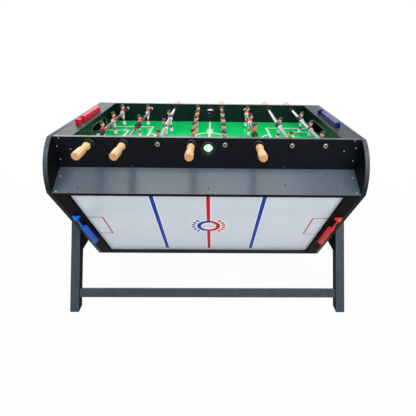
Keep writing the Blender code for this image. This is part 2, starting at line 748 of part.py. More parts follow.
def build_inner_rod(index, handle_in_front):
    """Inner bar that turns in the wall opposite the handle, with its cap and its collar."""
    cap_face = HALF_FACE + SEAT_GAP
    cap_end = HALF_FACE + CAP_HEIGHT
    collar_face = WALL_INSIDE - SEAT_GAP
    collar_end = WALL_INSIDE - COLLAR_LENGTH
    profile = [(0, cap_end - CAP_ROUNDING), (CAP_RECESS_RADIUS, cap_end - CAP_ROUNDING),
               (CAP_RECESS_RADIUS, cap_end), (CAP_RADIUS - CAP_ROUNDING, cap_end),
               (CAP_RADIUS, cap_end - CAP_ROUNDING), (CAP_RADIUS, cap_face),
               (INNER_ROD_RADIUS, cap_face), (INNER_ROD_RADIUS, collar_face),
               (COLLAR_RADIUS, collar_face), (COLLAR_RADIUS, collar_end + CAP_ROUNDING),
               (INNER_ROD_RADIUS, collar_end), (INNER_ROD_RADIUS, inner_rod_tip()),
               (0, inner_rod_tip())]
    shape = bmesh.new()
    add_turned(shape, profile, "Y", Vector(), ROD_SIDES)
    rod = make_object(f"inner_rod_{index + 1}", shape, "chrome")
    smooth_round_sides(rod)
    place_rod_piece(rod, index, handle_in_front)


def add_player(shape, y):
    """A player lofted from foot to crown round the rod, facing +X."""
    rings = []
    cut = PLAYER_CORNER_SHARE
    for height, width, thickness, forward in PLAYER_SECTION_SHARES:
        z = height * PLAYER_HEIGHT - PLAYER_BELOW_ROD
        half_y = width * PLAYER_WIDTH / 2
        half_x = thickness * PLAYER_THICKNESS / 2
        middle = forward * PLAYER_THICKNESS / 2
        rings.append([Vector((middle + u * half_x, y + v * half_y, z)) for u, v in (
            (1, cut), (cut, 1), (-cut, 1), (-1, cut),
            (-1, -cut), (-cut, -1), (cut, -1), (1, -cut))])
    add_loft(shape, rings)


def build_rod(index, count, offset, handle_in_front):
    """Outer tube with bumper and players, bored for the inner bar."""
    places = player_places(count, offset)
    handle_end = -(HALF_FACE + HANDLE_REACH - HANDLE_END_WALL - SEAT_GAP)
    bumper_start = bumper_face(count, offset)
    bumper_end = places[0] - PLAYER_WIDTH / 4
    profile = [(0, handle_end), (TUBE_RADIUS, handle_end), (TUBE_RADIUS, bumper_start),
               (BUMPER_RADIUS, bumper_start), (BUMPER_RADIUS, bumper_end),
               (TUBE_RADIUS, bumper_end), (TUBE_RADIUS, TUBE_FAR_END), (0, TUBE_FAR_END)]
    shape = bmesh.new()
    add_turned(shape, profile, "Y", Vector(), ROD_SIDES)
    rod = make_object(f"rod_{index + 1}", shape, "chrome")
    players = bmesh.new()
    for y in places:
        add_player(players, y)
    join(rod, players)
    bore = bmesh.new()
    bore_end = inner_rod_tip() - PUSH_TRAVEL - BORE_SPARE
    add_cylinder(bore, bore_radius(INNER_ROD_RADIUS, RUNNING_GAP, ROD_SIDES), bore_end,
                 TUBE_FAR_END + OVERRUN, "Y", Vector(), ROD_SIDES)
    cut(rod, bore)
    smooth_round_sides(rod)
    place_rod_piece(rod, index, handle_in_front)


def build_handle(index, handle_in_front):
    """Octagonal wooden grip, bored for the tube and closed at its outer end."""
    start = HALF_FACE + HANDLE_GAP
    end = HALF_FACE + HANDLE_REACH
    bore_end = end - HANDLE_END_WALL
    bore = bore_radius(TUBE_RADIUS, SEAT_GAP, HANDLE_SIDES)
    profile = [(0, -bore_end), (bore, -bore_end), (bore, -start)]
    profile += [(radius, -(start + share * (end - start)))
                for share, radius in HANDLE_OUTLINE_SHARES]
    profile.append((0, -end))
    shape = bmesh.new()
    add_turned(shape, profile, "Y", Vector(), HANDLE_SIDES)
    handle = make_object(f"handle_{index + 1}", shape, "pine")
    place_rod_piece(handle, index, handle_in_front)


def arch_outline(inset):
    """Section of a scorer block: flat foot, straight sides and a round top."""
    half = SCORER_WIDTH / 2 - inset
    spring = SCORER_HEIGHT - SCORER_WIDTH / 2
    outline = [(-half, SEAT_GAP + inset), (half, SEAT_GAP + inset)]
    for step in range(ARCH_STEPS + 1):
        angle = math.pi * step / ARCH_STEPS
        outline.append((half * math.cos(angle), spring + half * math.sin(angle)))
    return outline


def build_scorer(name, face, x, shift, beads_at, colour):
    """Bracket of two end blocks and a bar, and the stack of beads at one of its ends."""
    half = SCORER_LENGTH / 2
    shape = bmesh.new()
    for side in (-1, 1):
        add_prism(shape, arch_outline(0), "Y", side * half,
                  side * (half - SCORER_BLOCK_LENGTH))
    bracket = make_object(f"scorer_{name}", shape, colour)
    bar_centre = Vector((0, 0, SCORER_BAR_HEIGHT))
    bar = bmesh.new()
    inside_block = half - SCORER_BLOCK_LENGTH / 2
    add_cylinder(bar, SCORER_BAR_RADIUS, -inside_block, inside_block, "Y", bar_centre,
                 SCORER_BAR_SIDES)
    join(bracket, bar)

    pitch = BEAD_STACK_LENGTH / BEAD_COUNT
    start = half - SCORER_BLOCK_LENGTH - SEAT_GAP - BEAD_STACK_LENGTH
    rings = []
    for bead in range(BEAD_COUNT):
        low = start + bead * pitch
        for place, inset in ((low, BEAD_GROOVE), (low + BEAD_GROOVE, 0),
                             (low + pitch - BEAD_GROOVE, 0)):
            rings.append([Vector((u, beads_at * place, v)) for u, v in arch_outline(inset)])
    rings.append([Vector((u, beads_at * (start + BEAD_STACK_LENGTH), v))
                  for u, v in arch_outline(BEAD_GROOVE)])
    shape = bmesh.new()
    add_loft(shape, rings)
    beads = make_object(f"beads_{name}", shape, colour)
    hole = bmesh.new()
    hole_radius = bore_radius(SCORER_BAR_RADIUS, RUNNING_GAP, SCORER_BAR_SIDES)
    add_cylinder(hole, hole_radius, -half, half, "Y", bar_centre, SCORER_BAR_SIDES)
    cut(beads, hole)
    for piece in (bracket, beads):
        smooth_round_sides(piece)
        piece.location = (x, shift, APOTHEM)
        bpy.context.view_layer.update()
        place_on_face(piece, face)


def build_stand():
    build_legs()
    build_crossbars()
    build_stretchers()
    for side_name, x_side in (("left", -1), ("right", 1)):
        build_pivot_bracket(side_name, x_side)
        build_lock_knob(side_name, x_side)


def build_cabinet():
    build_boards()
    build_field("foosball_field", 0, FIELD_DEPTH, FIELD_THICKNESS, "football_green")
    build_field("hockey_field", 1, HOCKEY_RECESS, HOCKEY_FIELD_THICKNESS, "ice_white")
    build_billiard_face()
    for side_name, x_side in (("left", -1), ("right", 1)):
        build_end_panel(side_name, x_side)
        build_football_end(side_name, x_side)
        build_hockey_end(side_name, x_side)


def build_rods():
    for index, (count, offset, handle_in_front) in enumerate(RODS):
        build_inner_rod(index, handle_in_front)
        build_rod(index, count, offset, handle_in_front)
        build_handle(index, handle_in_front)


def build_scorers():
    football_x = HALF_LENGTH - FOOTBALL_SCORER_INSET
    hockey_x = HALF_LENGTH - HOCKEY_SCORER_INSET
    build_scorer("foosball_left", 0, -football_x, FOOTBALL_SCORER_SHIFT, 1, "red_plastic")
    build_scorer("foosball_right", 0, football_x, FOOTBALL_SCORER_SHIFT, -1, "blue_plastic")
    build_scorer("hockey_left", 1, -hockey_x, 0, -1, "blue_plastic")
    build_scorer("hockey_right", 1, hockey_x, 0, -1, "red_plastic")


build_stand()
build_cabinet()
build_rods()
build_scorers()
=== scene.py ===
import math

import bmesh
import bpy
import numpy as np
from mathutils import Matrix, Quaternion, Vector


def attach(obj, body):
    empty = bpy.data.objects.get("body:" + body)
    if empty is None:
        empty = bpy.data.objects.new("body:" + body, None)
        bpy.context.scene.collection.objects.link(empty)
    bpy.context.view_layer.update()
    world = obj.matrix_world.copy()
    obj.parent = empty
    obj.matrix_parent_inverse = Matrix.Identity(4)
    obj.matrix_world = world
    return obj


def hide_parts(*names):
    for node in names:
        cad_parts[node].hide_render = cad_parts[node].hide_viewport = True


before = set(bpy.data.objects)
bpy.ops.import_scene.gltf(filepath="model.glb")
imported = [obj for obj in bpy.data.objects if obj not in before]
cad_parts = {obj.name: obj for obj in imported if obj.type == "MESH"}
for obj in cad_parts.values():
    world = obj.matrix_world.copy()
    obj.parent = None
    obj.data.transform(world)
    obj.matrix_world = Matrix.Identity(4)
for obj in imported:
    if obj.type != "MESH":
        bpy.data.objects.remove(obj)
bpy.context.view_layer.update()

# Sizes that the CAD part has too, in metres
cabinet = {
    "axisHeight": 0.579, "apothem": 0.3029786, "halfFace": 0.310, "fieldDepth": 0.095,
    "endWall": 0.520, "thirdTurn": 2 * math.pi / 3,
}
rimHeight = cabinet["axisHeight"] + cabinet["apothem"]
fieldTop = rimHeight - cabinet["fieldDepth"]


# Surfaces: a grid of points with rows along the piece and columns round it, closed round
# the columns. Its ends are shut by flat lids, or its last row is joined to its first.
def surface(grid, slot=0, looped=False):
    rowCount, columnCount = grid.shape[:2]
    corner = np.arange(rowCount * columnCount).reshape(rowCount, columnCount)
    if looped:
        corner = np.concatenate([corner, corner[:1]])
    ahead = np.roll(corner, -1, axis=1)
    quads = np.stack([corner[:-1], ahead[:-1], ahead[1:], corner[1:]], axis=-1)
    lids = [] if looped else [corner[0, ::-1], corner[-1]]
    return {"points": grid.reshape(-1, 3), "quads": quads.reshape(-1, 4), "lids": lids,
            "slot": slot}


# The part with each point's x, y and z worked out anew from the old ones
def mapped(part, move):
    return dict(part, points=np.stack(move(*part["points"].T), axis=-1))


# The part moved by a step along x, y and z
def shifted(part, *step):
    return dict(part, points=part["points"] + step)


# Face coordinates (along the table, across the face, out from the turning axis), turned
# about the axis by the face's third turns and lifted to the axis
def onFace(part, face):
    angle = face * cabinet["thirdTurn"]
    sine, cosine = math.sin(angle), math.cos(angle)
    return mapped(part, lambda x, across, out: (
        x, across * cosine - out * sine,
        across * sine + out * cosine + cabinet["axisHeight"]))


# Angles in even steps once round
def circle(sides):
    return np.arange(sides) * 2 * math.pi / sides


# Rows of points about the Y axis at the given angles: each of the profile's radii at its
# place along Y
def profileGrid(profile, angle):
    radius, place = np.array(profile, float).T
    return np.stack([radius[:, None] * np.sin(angle),
                     np.broadcast_to(place[:, None], (len(radius), len(angle))),
                     radius[:, None] * np.cos(angle)], axis=-1)


# Surface of revolution: the profile carried once round the Y axis
def turned(profile, sides, slot=0, looped=False):
    return surface(profileGrid(profile, circle(sides)), slot, looped)


# A sine or cosine taken to a power, with its sign kept
def squared(share, power):
    return np.sign(share) * np.abs(share) ** power


# Superellipse rings stacked along Z: each row gives height, middle x, middle y, half x,
# half y. The power squares the ring's corners.
def stacked(rows, columns, slot, power=1.0):
    height, middleX, middleY, halfX, halfY = np.array(rows, float).T
    angle = circle(columns)
    grid = np.stack([middleX[:, None] + halfX[:, None] * squared(np.cos(angle), power),
                     middleY[:, None] + halfY[:, None] * squared(np.sin(angle), power),
                     np.broadcast_to(height[:, None], (len(height), columns))], axis=-1)
    return surface(grid, slot)


# Ellipsoid: rings whose height follows a cosine and whose width follows a sine, from just
# off one pole to just off the other
def ellipsoid(middle, half, columns, rowCount, slot):
    offPole = 0.12
    tilt = np.linspace(math.pi - offPole, offPole, rowCount)
    return stacked(np.stack([middle[2] + half[2] * np.cos(tilt),
                             np.full(rowCount, middle[0]), np.full(rowCount, middle[1]),
                             half[0] * np.sin(tilt), half[1] * np.sin(tilt)], axis=-1),
                   columns, slot)


# Painted or moulded line: the path moved half the width to each side, at two heights
def ribbon(path, width, low, high, slot=0, closed=False):
    path = np.array(path, float)
    before = np.roll(path, 1, axis=0)
    after = np.roll(path, -1, axis=0)
    if not closed:
        before[0] = 2 * path[0] - path[1]
        after[-1] = 2 * path[-1] - path[-2]
    sideA, sideB = (
        np.stack([-step[:, 1], step[:, 0]], axis=-1) / np.linalg.norm(step, axis=1)[:, None]
        for step in (path - before, after - path))
    mitre = sideA + sideB
    mitre /= (mitre * sideA).sum(axis=1)[:, None]
    grid = np.stack([
        np.hstack([path + side * mitre * width / 2, np.full((len(path), 1), height)])
        for side, height in ((1, low), (-1, low), (-1, high), (1, high))], axis=1)
    return surface(grid, slot, closed)


# Circle's arc between two angles in degrees. A full circle leaves out its last point.
def arc(middleX, middleY, radius, start, end, steps):
    angle = np.radians(np.linspace(start, end, steps + 1))
    if end - start == 360:
        angle = angle[:-1]
    return np.stack([middleX + radius * np.cos(angle),
                     middleY + radius * np.sin(angle)], axis=-1)


# The shape goes into the mesh with its faces turned outward
def writeOutward(shape, mesh):
    bmesh.ops.recalc_face_normals(shape, faces=shape.faces)
    shape.to_mesh(mesh)
    shape.free()


# Materials, each face's slot, and smooth shading below the given angle
def dressMesh(mesh, finishes, slots, smoothAngle):
    for finish in finishes:
        mesh.materials.append(materials[finish])
    mesh.polygons.foreach_set("material_index", slots)
    mesh.polygons.foreach_set("use_smooth", np.ones(len(mesh.polygons), bool))
    mesh.set_sharp_from_angle(angle=math.radians(smoothAngle))
    mesh.update()


# One piece from several closed surfaces, smooth below the given angle
def makePiece(name, parts, finishes, body, smoothAngle, replaces=()):
    points = []
    faces = []
    slots = []
    start = 0
    for part in parts:
        points.append(part["points"])
        faces += (part["quads"] + start).tolist()
        faces += [(lid + start).tolist() for lid in part["lids"]]
        slots += list(part.get("quadSlots", [part["slot"]] * len(part["quads"])))
        slots += list(part.get("lidSlots", [part["slot"]] * len(part["lids"])))
        start += len(part["points"])
    mesh = bpy.data.meshes.new(name)
    mesh.from_pydata(np.concatenate(points).tolist(), [], faces)
    shape = bmesh.new()
    shape.from_mesh(mesh)
    writeOutward(shape, mesh)
    dressMesh(mesh, finishes, slots, smoothAngle)
    registerPiece(name, mesh, body, replaces)


# The piece rides on its body and stands for the CAD nodes that it replaces
def registerPiece(name, mesh, body, replaces):
    piece = bpy.data.objects.new(name, mesh)
    bpy.context.scene.collection.objects.link(piece)
    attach(piece, body)
    if replaces:
        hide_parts(*replaces)
    return piece


# How a CAD board's edges are softened: a distance in metres and angles in degrees
softening = {"merged": 0.00002, "flat": 1.5, "smooth": 30, "bevelled": 40, "segments": 2}


# A CAD board with its copy's edges softened. Each face takes the slot that choose gives
# for its middle and its normal.
def softenedCopy(node, name, body, width, choose, finishes):
    shape = bmesh.new()
    shape.from_mesh(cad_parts[node].data)
    bmesh.ops.remove_doubles(shape, verts=shape.verts, dist=softening["merged"])
    bmesh.ops.dissolve_limit(shape, angle_limit=math.radians(softening["flat"]),
                             verts=shape.verts, edges=shape.edges)
    mesh = bpy.data.meshes.new(name)
    writeOutward(shape, mesh)
    count = len(mesh.polygons)
    slots = np.zeros(count, int)
    if choose:
        middles = np.zeros(count * 3)
        normals = np.zeros(count * 3)
        mesh.polygons.foreach_get("center", middles)
        mesh.polygons.foreach_get("normal", normals)
        slots = choose(middles.reshape(-1, 3), normals.reshape(-1, 3)).astype(int)
    dressMesh(mesh, finishes, slots, softening["smooth"])
    bevel = registerPiece(name, mesh, body, (node,)).modifiers.new("edges", "BEVEL")
    bevel.width = width
    bevel.segments = softening["segments"]
    bevel.limit_method = "ANGLE"
    bevel.angle_limit = math.radians(softening["bevelled"])
    bevel.harden_normals = True
    bevel.use_clamp_overlap = True


# Links an output to each of the node's inputs that names one, and sets the others' values
def feed(tree, node, inputs):
    for name, value in inputs.items():
        if isinstance(value, bpy.types.NodeSocket):
            tree.links.new(value, node.inputs[name])
        else:
            node.inputs[name].default_value = value


# A shader node with its settings, fed with its inputs
def addNode(tree, kind, inputs, **settings):
    node = tree.nodes.new("ShaderNode" + kind)
    for name, value in settings.items():
        setattr(node, name, value)
    feed(tree, node, inputs)
    return node


# Colour ramp from the first colour at the first place to the second at the second
def addRamp(tree, value, places, colours):
    ramp = addNode(tree, "ValToRGB", {"Fac": value})
    for element, place, colour in zip(ramp.color_ramp.elements, places, colours):
        element.position = place
        element.color = (*colour, 1)
    return ramp.outputs["Color"]


# What a look has where neither it nor its family says otherwise
plainLook = {
    "metallic": 0.0, "specular": 0.5, "coat": 0.0, "coatRoughness": 0.1, "sheen": 0.0,
    "stretch": (1, 1, 1), "detail": 3, "places": (0.3, 0.7), "grainScale": 900,
    "grainDetail": 2, "bump": 0.1, "bumpDepth": 0.0002,
}
families = {
    "blackBoard": {"scale": 60, "grainScale": 1400, "bump": 0.12},
    "laminate": {"scale": 120, "detail": 6, "grainScale": 1300},
    "streaked": {"scale": 60, "detail": 5, "grainScale": 1300},
    "wall": {"scale": 50, "grainScale": 1400, "bump": 0.08},
    "ice": {"scale": 20, "grainScale": 1500, "bump": 0.03},
    "paint": {"scale": 30, "grainScale": 1200, "bump": 0.04},
    "colourPaint": {"scale": 30, "grainScale": 1200, "bump": 0.04, "specular": 0.06},
    "goal": {"scale": 40},
    "steel": {"scale": 300, "bump": 0.06},
    "grey": {"scale": 200, "specular": 0.3},
    "plastic": {"scale": 60, "bump": 0.04},
    "shirt": {"scale": 200, "grainScale": 1200, "bump": 0.06},
    "kit": {"scale": 180, "grainScale": 1200, "bump": 0.05},
}


# A dark and a light colour that noise mixes, the roughness that the same noise moves
# between, and a fine bump from a second noise. Differences go before the family.
def newMaterial(name, family, dark, light, roughness, differences={}):
    look = {**plainLook, **families.get(family, {}), **differences}
    material = bpy.data.materials.new(name)
    material.use_nodes = True
    tree = material.node_tree
    place = addNode(tree, "TexCoord", {}).outputs["Object"]
    stretched = addNode(tree, "Mapping", {
        "Vector": place, "Scale": look["stretch"]}).outputs["Vector"]
    noise = addNode(tree, "TexNoise", {
        "Vector": stretched, "Scale": look["scale"],
        "Detail": look["detail"]}).outputs["Fac"]
    gloss = addNode(tree, "MapRange", {
        "Value": noise, "To Min": roughness[0], "To Max": roughness[1]})
    grain = addNode(tree, "TexNoise", {
        "Vector": stretched, "Scale": look["grainScale"], "Detail": look["grainDetail"]})
    bump = addNode(tree, "Bump", {
        "Height": grain.outputs["Fac"], "Strength": look["bump"],
        "Distance": look["bumpDepth"]})
    feed(tree, tree.nodes["Principled BSDF"], {
        "Base Color": addRamp(tree, noise, look["places"], (dark, light)),
        "Roughness": gloss.outputs["Result"], "Normal": bump.outputs["Normal"],
        "Metallic": look["metallic"], "Specular IOR Level": look["specular"],
        "Coat Weight": look["coat"], "Coat Roughness": look["coatRoughness"],
        "Sheen Weight": look["sheen"]})
    return material


# Pine: dark rings cut lengthwise, from a wave bent by stretched noise, under a satin lacquer
def newPine(name, dark, light):
    material = newMaterial(name, None, dark, light, (0.38, 0.50), {
        "scale": 26, "stretch": (1, 0.12, 1), "coat": 0.06, "specular": 0.35,
        "grainScale": 500, "bump": 0.15})
    tree = material.node_tree
    wave = addNode(tree, "TexWave", {
        "Vector": tree.nodes["Mapping"].outputs["Vector"], "Scale": 42, "Distortion": 6,
        "Detail": 2, "Detail Scale": 1.2})
    rings = addRamp(tree, wave.outputs["Fac"], (0, 0.6), ((0.93, 0.87, 0.79), (1, 1, 1)))
    mix = addNode(tree, "Mix", {
        "Factor": 0.8, "A": tree.nodes["Color Ramp"].outputs["Color"], "B": rings},
        data_type="RGBA", blend_type="MULTIPLY")
    feed(tree, tree.nodes["Principled BSDF"], {"Base Color": mix.outputs["Result"]})
    return material


# Each look: its family, dark colour, light colour, roughness and differences
looks = {
    # Black laminate, and painted shade on the grey end panels' inner sides
    "blackLaminateAndPaintedShade": ("blackBoard", (0.0025, 0.0035, 0.0048), (0.0050, 0.0066, 0.0085),
                      (0.42, 0.52), {"specular": 0.08}),
    # Black of the black boards' undersides, and painted shade on the grey legs' and
    # crossbars' inner sides
    "undersideBlackAndPaintedShade": ("blackBoard", (0.0020, 0.0020, 0.0019), (0.0040, 0.0040, 0.0038),
                       (0.50, 0.60), {"specular": 0.03}),
    # Painted sheen: grey on the black aprons' rims
    "rimSheenGrey": ("laminate", (0.046, 0.057, 0.072), (0.070, 0.084, 0.102),
                     (0.28, 0.38), {"specular": 0.25}),
    # Painted sheen: grey-blue on the black shelf's up side
    "shelfSheenGrey": ("laminate", (0.045, 0.063, 0.090), (0.060, 0.079, 0.110),
                      (0.24, 0.34), {"specular": 0.55}),
    # Painted sheen: grey on the black end rails' tops
    "railSheenGrey": ("laminate", (0.029, 0.035, 0.044), (0.041, 0.049, 0.060),
                     (0.32, 0.42), {"specular": 0.09}),
    "panelLaminate": ("laminate", (0.058, 0.072, 0.087), (0.074, 0.089, 0.106),
                      (0.34, 0.44), {"specular": 0.12}),
    # The end panels' bowed edges' own grey; painted shade darkens it low down
    "panelEdge": ("laminate", (0.090, 0.112, 0.135), (0.114, 0.138, 0.164),
                  (0.40, 0.50), {"specular": 0.08}),
    # The legs' own grey, and painted sheen on the black billiard boards' up sides
    "legGreyAndSheen": ("streaked", (0.030, 0.042, 0.054), (0.045, 0.059, 0.073),
                    (0.30, 0.42), {"specular": 0.28, "stretch": (1, 1, 0.2)}),
    # Painted sheen: dark grey on the black lower hockey board's up side
    "lipSheenGrey": ("streaked", (0.013, 0.018, 0.025), (0.019, 0.025, 0.033),
                    (0.34, 0.44), {"specular": 0.20}),
    # Painted reflection: the green in these black walls stands for the green field that they
    # mirror
    "wallGreenReflection": ("wall", (0.0012, 0.010, 0.007), (0.0026, 0.015, 0.011),
                     (0.22, 0.30), {"specular": 0.18}),
    "apronWallGreenReflection": ("wall", (0.0020, 0.0120, 0.011), (0.0040, 0.0175, 0.016),
                 (0.26, 0.34), {"specular": 0.20}),
    "fieldGreen": (None, (0.002, 0.620, 0.140), (0.003, 0.680, 0.165), (0.09, 0.14),
                   {"scale": 9, "specular": 0.36, "grainScale": 1200, "bump": 0.03}),
    "ice": ("ice", (0.68, 0.755, 0.84), (0.73, 0.785, 0.87), (0.16, 0.24), {"scale": 7}),
    "iceWhite": ("ice", (0.84, 0.90, 0.94), (0.88, 0.93, 0.97), (0.18, 0.24)),
    "iceShade": ("ice", (0.66, 0.68, 0.79), (0.70, 0.72, 0.83), (0.18, 0.24)),
    "lineWhite": ("paint", (0.90, 0.93, 0.91), (0.95, 0.97, 0.95), (0.12, 0.20)),
    "lineRed": ("colourPaint", (0.58, 0.002, 0.004), (0.66, 0.004, 0.008), (0.30, 0.38)),
    "lineBlue": ("colourPaint", (0.002, 0.040, 0.36), (0.003, 0.055, 0.44), (0.30, 0.38)),
    "lineRose": ("colourPaint", (0.44, 0.012, 0.018), (0.52, 0.020, 0.028), (0.30, 0.38)),
    "goalTrim": ("goal", (0.11, 0.17, 0.14), (0.15, 0.21, 0.17), (0.30, 0.40),
                 {"bump": 0.05}),
    "goalDark": ("goal", (0.002, 0.002, 0.002), (0.004, 0.004, 0.004), (0.70, 0.80),
                 {"specular": 0.1}),
    "chrome": (None, (0.42, 0.43, 0.44), (0.48, 0.49, 0.50), (0.06, 0.10),
               {"scale": 120, "stretch": (1, 0.05, 1), "metallic": 0.8,
                "grainScale": 700, "bump": 0.01}),
    # Painted reflection: the silver nut's pale green-white stands for the field and light it
    # mirrors
    "nutPaintedReflection": (None, (0.62, 0.78, 0.68), (0.74, 0.88, 0.78), (0.40, 0.50),
                  {"scale": 200, "grainScale": 700, "bump": 0.02}),
    "nickel": ("steel", (0.24, 0.22, 0.185), (0.40, 0.37, 0.32), (0.22, 0.34),
               {"metallic": 1.0}),
    "screwSteel": ("steel", (0.36, 0.32, 0.27), (0.50, 0.45, 0.39), (0.30, 0.42),
                   {"scale": 400, "metallic": 0.7}),
    "darkSteel": ("steel", (0.020, 0.021, 0.023), (0.034, 0.035, 0.038), (0.34, 0.46),
                  {"scale": 160, "metallic": 0.7, "grainScale": 1500, "bump": 0.12}),
    # Painted reflection: blue-grey for the light that the rear entry's dish catches
    "dishPaintedReflection": ("grey", (0.110, 0.140, 0.170), (0.150, 0.180, 0.220), (0.35, 0.45)),
    # Grey for the entries' ticks and some screws, and a painted highlight on the entries'
    # inner rims
    "tickGrey": ("grey", (0.050, 0.053, 0.056), (0.075, 0.078, 0.082), (0.45, 0.55)),
    # Dark for the eyes and some screws, and painted shade in the bar caps' dishes
    "recess": ("grey", (0.020, 0.019, 0.018), (0.040, 0.037, 0.034), (0.55, 0.65),
               {"scale": 300, "specular": 0.2}),
    "blackPlastic": ("plastic", (0.006, 0.007, 0.008), (0.011, 0.012, 0.013),
                     (0.30, 0.42), {"scale": 90, "specular": 0.35, "grainScale": 1100,
                                    "bump": 0.08}),
    "rubber": ("plastic", (0.008, 0.008, 0.009), (0.015, 0.015, 0.016), (0.50, 0.64),
               {"scale": 110, "specular": 0.3, "grainScale": 1400, "bump": 0.15}),
    "redPlastic": ("plastic", (0.66, 0.006, 0.012), (0.76, 0.012, 0.020), (0.24, 0.32),
                   {"specular": 0.28}),
    # Painted light: a brighter red for the hockey scorer's end faces, which face up to the
    # light
    "redLitEnd": ("plastic", (0.96, 0.045, 0.055), (1.0, 0.065, 0.075), (0.24, 0.32),
               {"specular": 0.28}),
    "bluePlastic": ("plastic", (0.002, 0.072, 0.46), (0.004, 0.096, 0.56), (0.24, 0.32),
                    {"specular": 0.25}),
    # Painted light: a brighter blue for the hockey scorer's end faces, which face up to the
    # light
    "blueLitEnd": ("plastic", (0.002, 0.200, 0.94), (0.004, 0.240, 1.0), (0.24, 0.32),
                {"specular": 0.25}),
    "navyPlastic": ("plastic", (0.002, 0.006, 0.120), (0.004, 0.010, 0.160),
                    (0.24, 0.32), {"specular": 0.45}),
    "skin": (None, (0.96, 0.41, 0.24), (1.0, 0.49, 0.31), (0.36, 0.46),
             {"scale": 260, "grainScale": 1500, "bump": 0.05}),
    "hair": (None, (0.006, 0.007, 0.009), (0.014, 0.016, 0.020), (0.20, 0.32),
             {"scale": 500, "stretch": (1, 1, 0.3), "grainScale": 1800, "bump": 0.35}),
    "shirtRed": ("shirt", (0.62, 0.010, 0.014), (0.72, 0.016, 0.020), (0.26, 0.36)),
    "shirtBlue": ("shirt", (0.012, 0.007, 0.115), (0.020, 0.012, 0.175), (0.26, 0.36)),
    "kitWhite": ("kit", (0.88, 0.76, 0.98), (0.95, 0.83, 1.0), (0.28, 0.38)),
    "sleeveWhite": ("kit", (0.78, 0.75, 0.86), (0.88, 0.86, 0.94), (0.28, 0.38)),
    "cloth": (None, (0.010, 0.150, 0.050), (0.016, 0.200, 0.070), (0.86, 0.96),
              {"scale": 700, "specular": 0.15, "sheen": 0.4, "grainScale": 2600,
               "bump": 0.5, "bumpDepth": 0.0004}),
}
materials = {name: newMaterial(name, *look) for name, look in looks.items()}
materials["pine"] = newPine("pine", (0.72, 0.41, 0.18), (0.86, 0.57, 0.31))
# Painted shade: a darker pine for the grips' end faces
materials["pineShadedEnd"] = newPine("pineShadedEnd", (0.56, 0.28, 0.12), (0.66, 0.36, 0.165))


# Paints shade into a material along an axis: the dark colour's share goes from the first of
# the shares to the second while the distance from the origin goes from start to end
def addPaintedShade(finish, axis, start, end, shares, dark):
    tree = materials[finish].node_tree
    axes = addNode(tree, "SeparateXYZ", {
        "Vector": tree.nodes["Texture Coordinate"].outputs["Object"]})
    along = addNode(tree, "Math", {0: axes.outputs[axis]}, operation="ABSOLUTE")
    share = addNode(tree, "MapRange", {
        "Value": along.outputs["Value"], "From Min": start, "From Max": end,
        "To Min": shares[0], "To Max": shares[1]})
    mix = addNode(tree, "Mix", {
        "Factor": share.outputs["Result"], "A": tree.nodes["Color Ramp"].outputs["Color"],
        "B": (*dark, 1)}, data_type="RGBA")
    feed(tree, tree.nodes["Principled BSDF"], {"Base Color": mix.outputs["Result"]})


# Painted shade: the ice board is dark past its playing field, where it runs on under the end
# rails, and the end panels' bowed edges are darker low down
addPaintedShade("ice", "X", 0.5396, 0.5397, (0, 1), (0.004, 0.004, 0.004))
addPaintedShade("panelEdge", "Z", 0.720, 0.865, (0.89, 0.0), (0, 0, 0))
print("materials", len(materials))

# Which side of a board a face lies on, from its place in metres and its normal's share
# along an axis
sideRule = {"square": 0.9, "upward": 0.7, "bowed": 0.5, "wall": 0.2925, "end": 0.521,
            "rim": rimHeight - 0.001, "frameAcross": 0.8, "frameDown": -0.4}


# Black, with a grey rim that is painted sheen and a green inner side that is a painted
# reflection of the field
def chooseApron(middles, normals):
    inner = ((np.abs(middles[:, 1]) < sideRule["wall"])
             & (np.abs(normals[:, 1]) > sideRule["square"]))
    return np.where(chooseRim(middles, normals), 1, np.where(inner, 2, 0))


# The rim is what faces up at the top of a wall
def chooseRim(middles, normals):
    return (normals[:, 2] > sideRule["square"]) & (middles[:, 2] > sideRule["rim"])


# A grey rail on top, painted sheen on the black board, a wall with the goal mouth whose
# green is a painted reflection of the field, and dark elsewhere
def chooseFootballEnd(middles, normals):
    wall = ((np.abs(normals[:, 0]) > sideRule["square"])
            & (np.abs(middles[:, 0]) < sideRule["end"]))
    return np.where(chooseRim(middles, normals), 1, np.where(wall, 2, 3))


# The side that faces up is the lighter one, painted sheen on a black board
def chooseSheenSide(middles, normals):
    return normals[:, 2] > sideRule["upward"]


# The side of a leg or a crossbar that faces the middle of the table is black, painted shade
# on the grey board
def chooseLegShadedSide(middles, normals):
    return normals[:, 0] * np.sign(middles[:, 0]) < -sideRule["square"]


# The inner side is black, painted shade on the grey board, and the bowed edges have their
# own grey
def choosePanel(middles, normals):
    share = np.abs(normals[:, 0])
    inner = (normals[:, 0] * middles[:, 0] < 0) & (share > sideRule["square"])
    edge = (normals[:, 2] < sideRule["upward"]) & (share < sideRule["bowed"])
    return np.where(inner, 1, np.where(edge, 2, 0))


# The frame's flat front, which looks back and down, is black
def chooseCushion(middles, normals):
    return ((normals[:, 1] > sideRule["frameAcross"])
            & (normals[:, 2] < sideRule["frameDown"]))


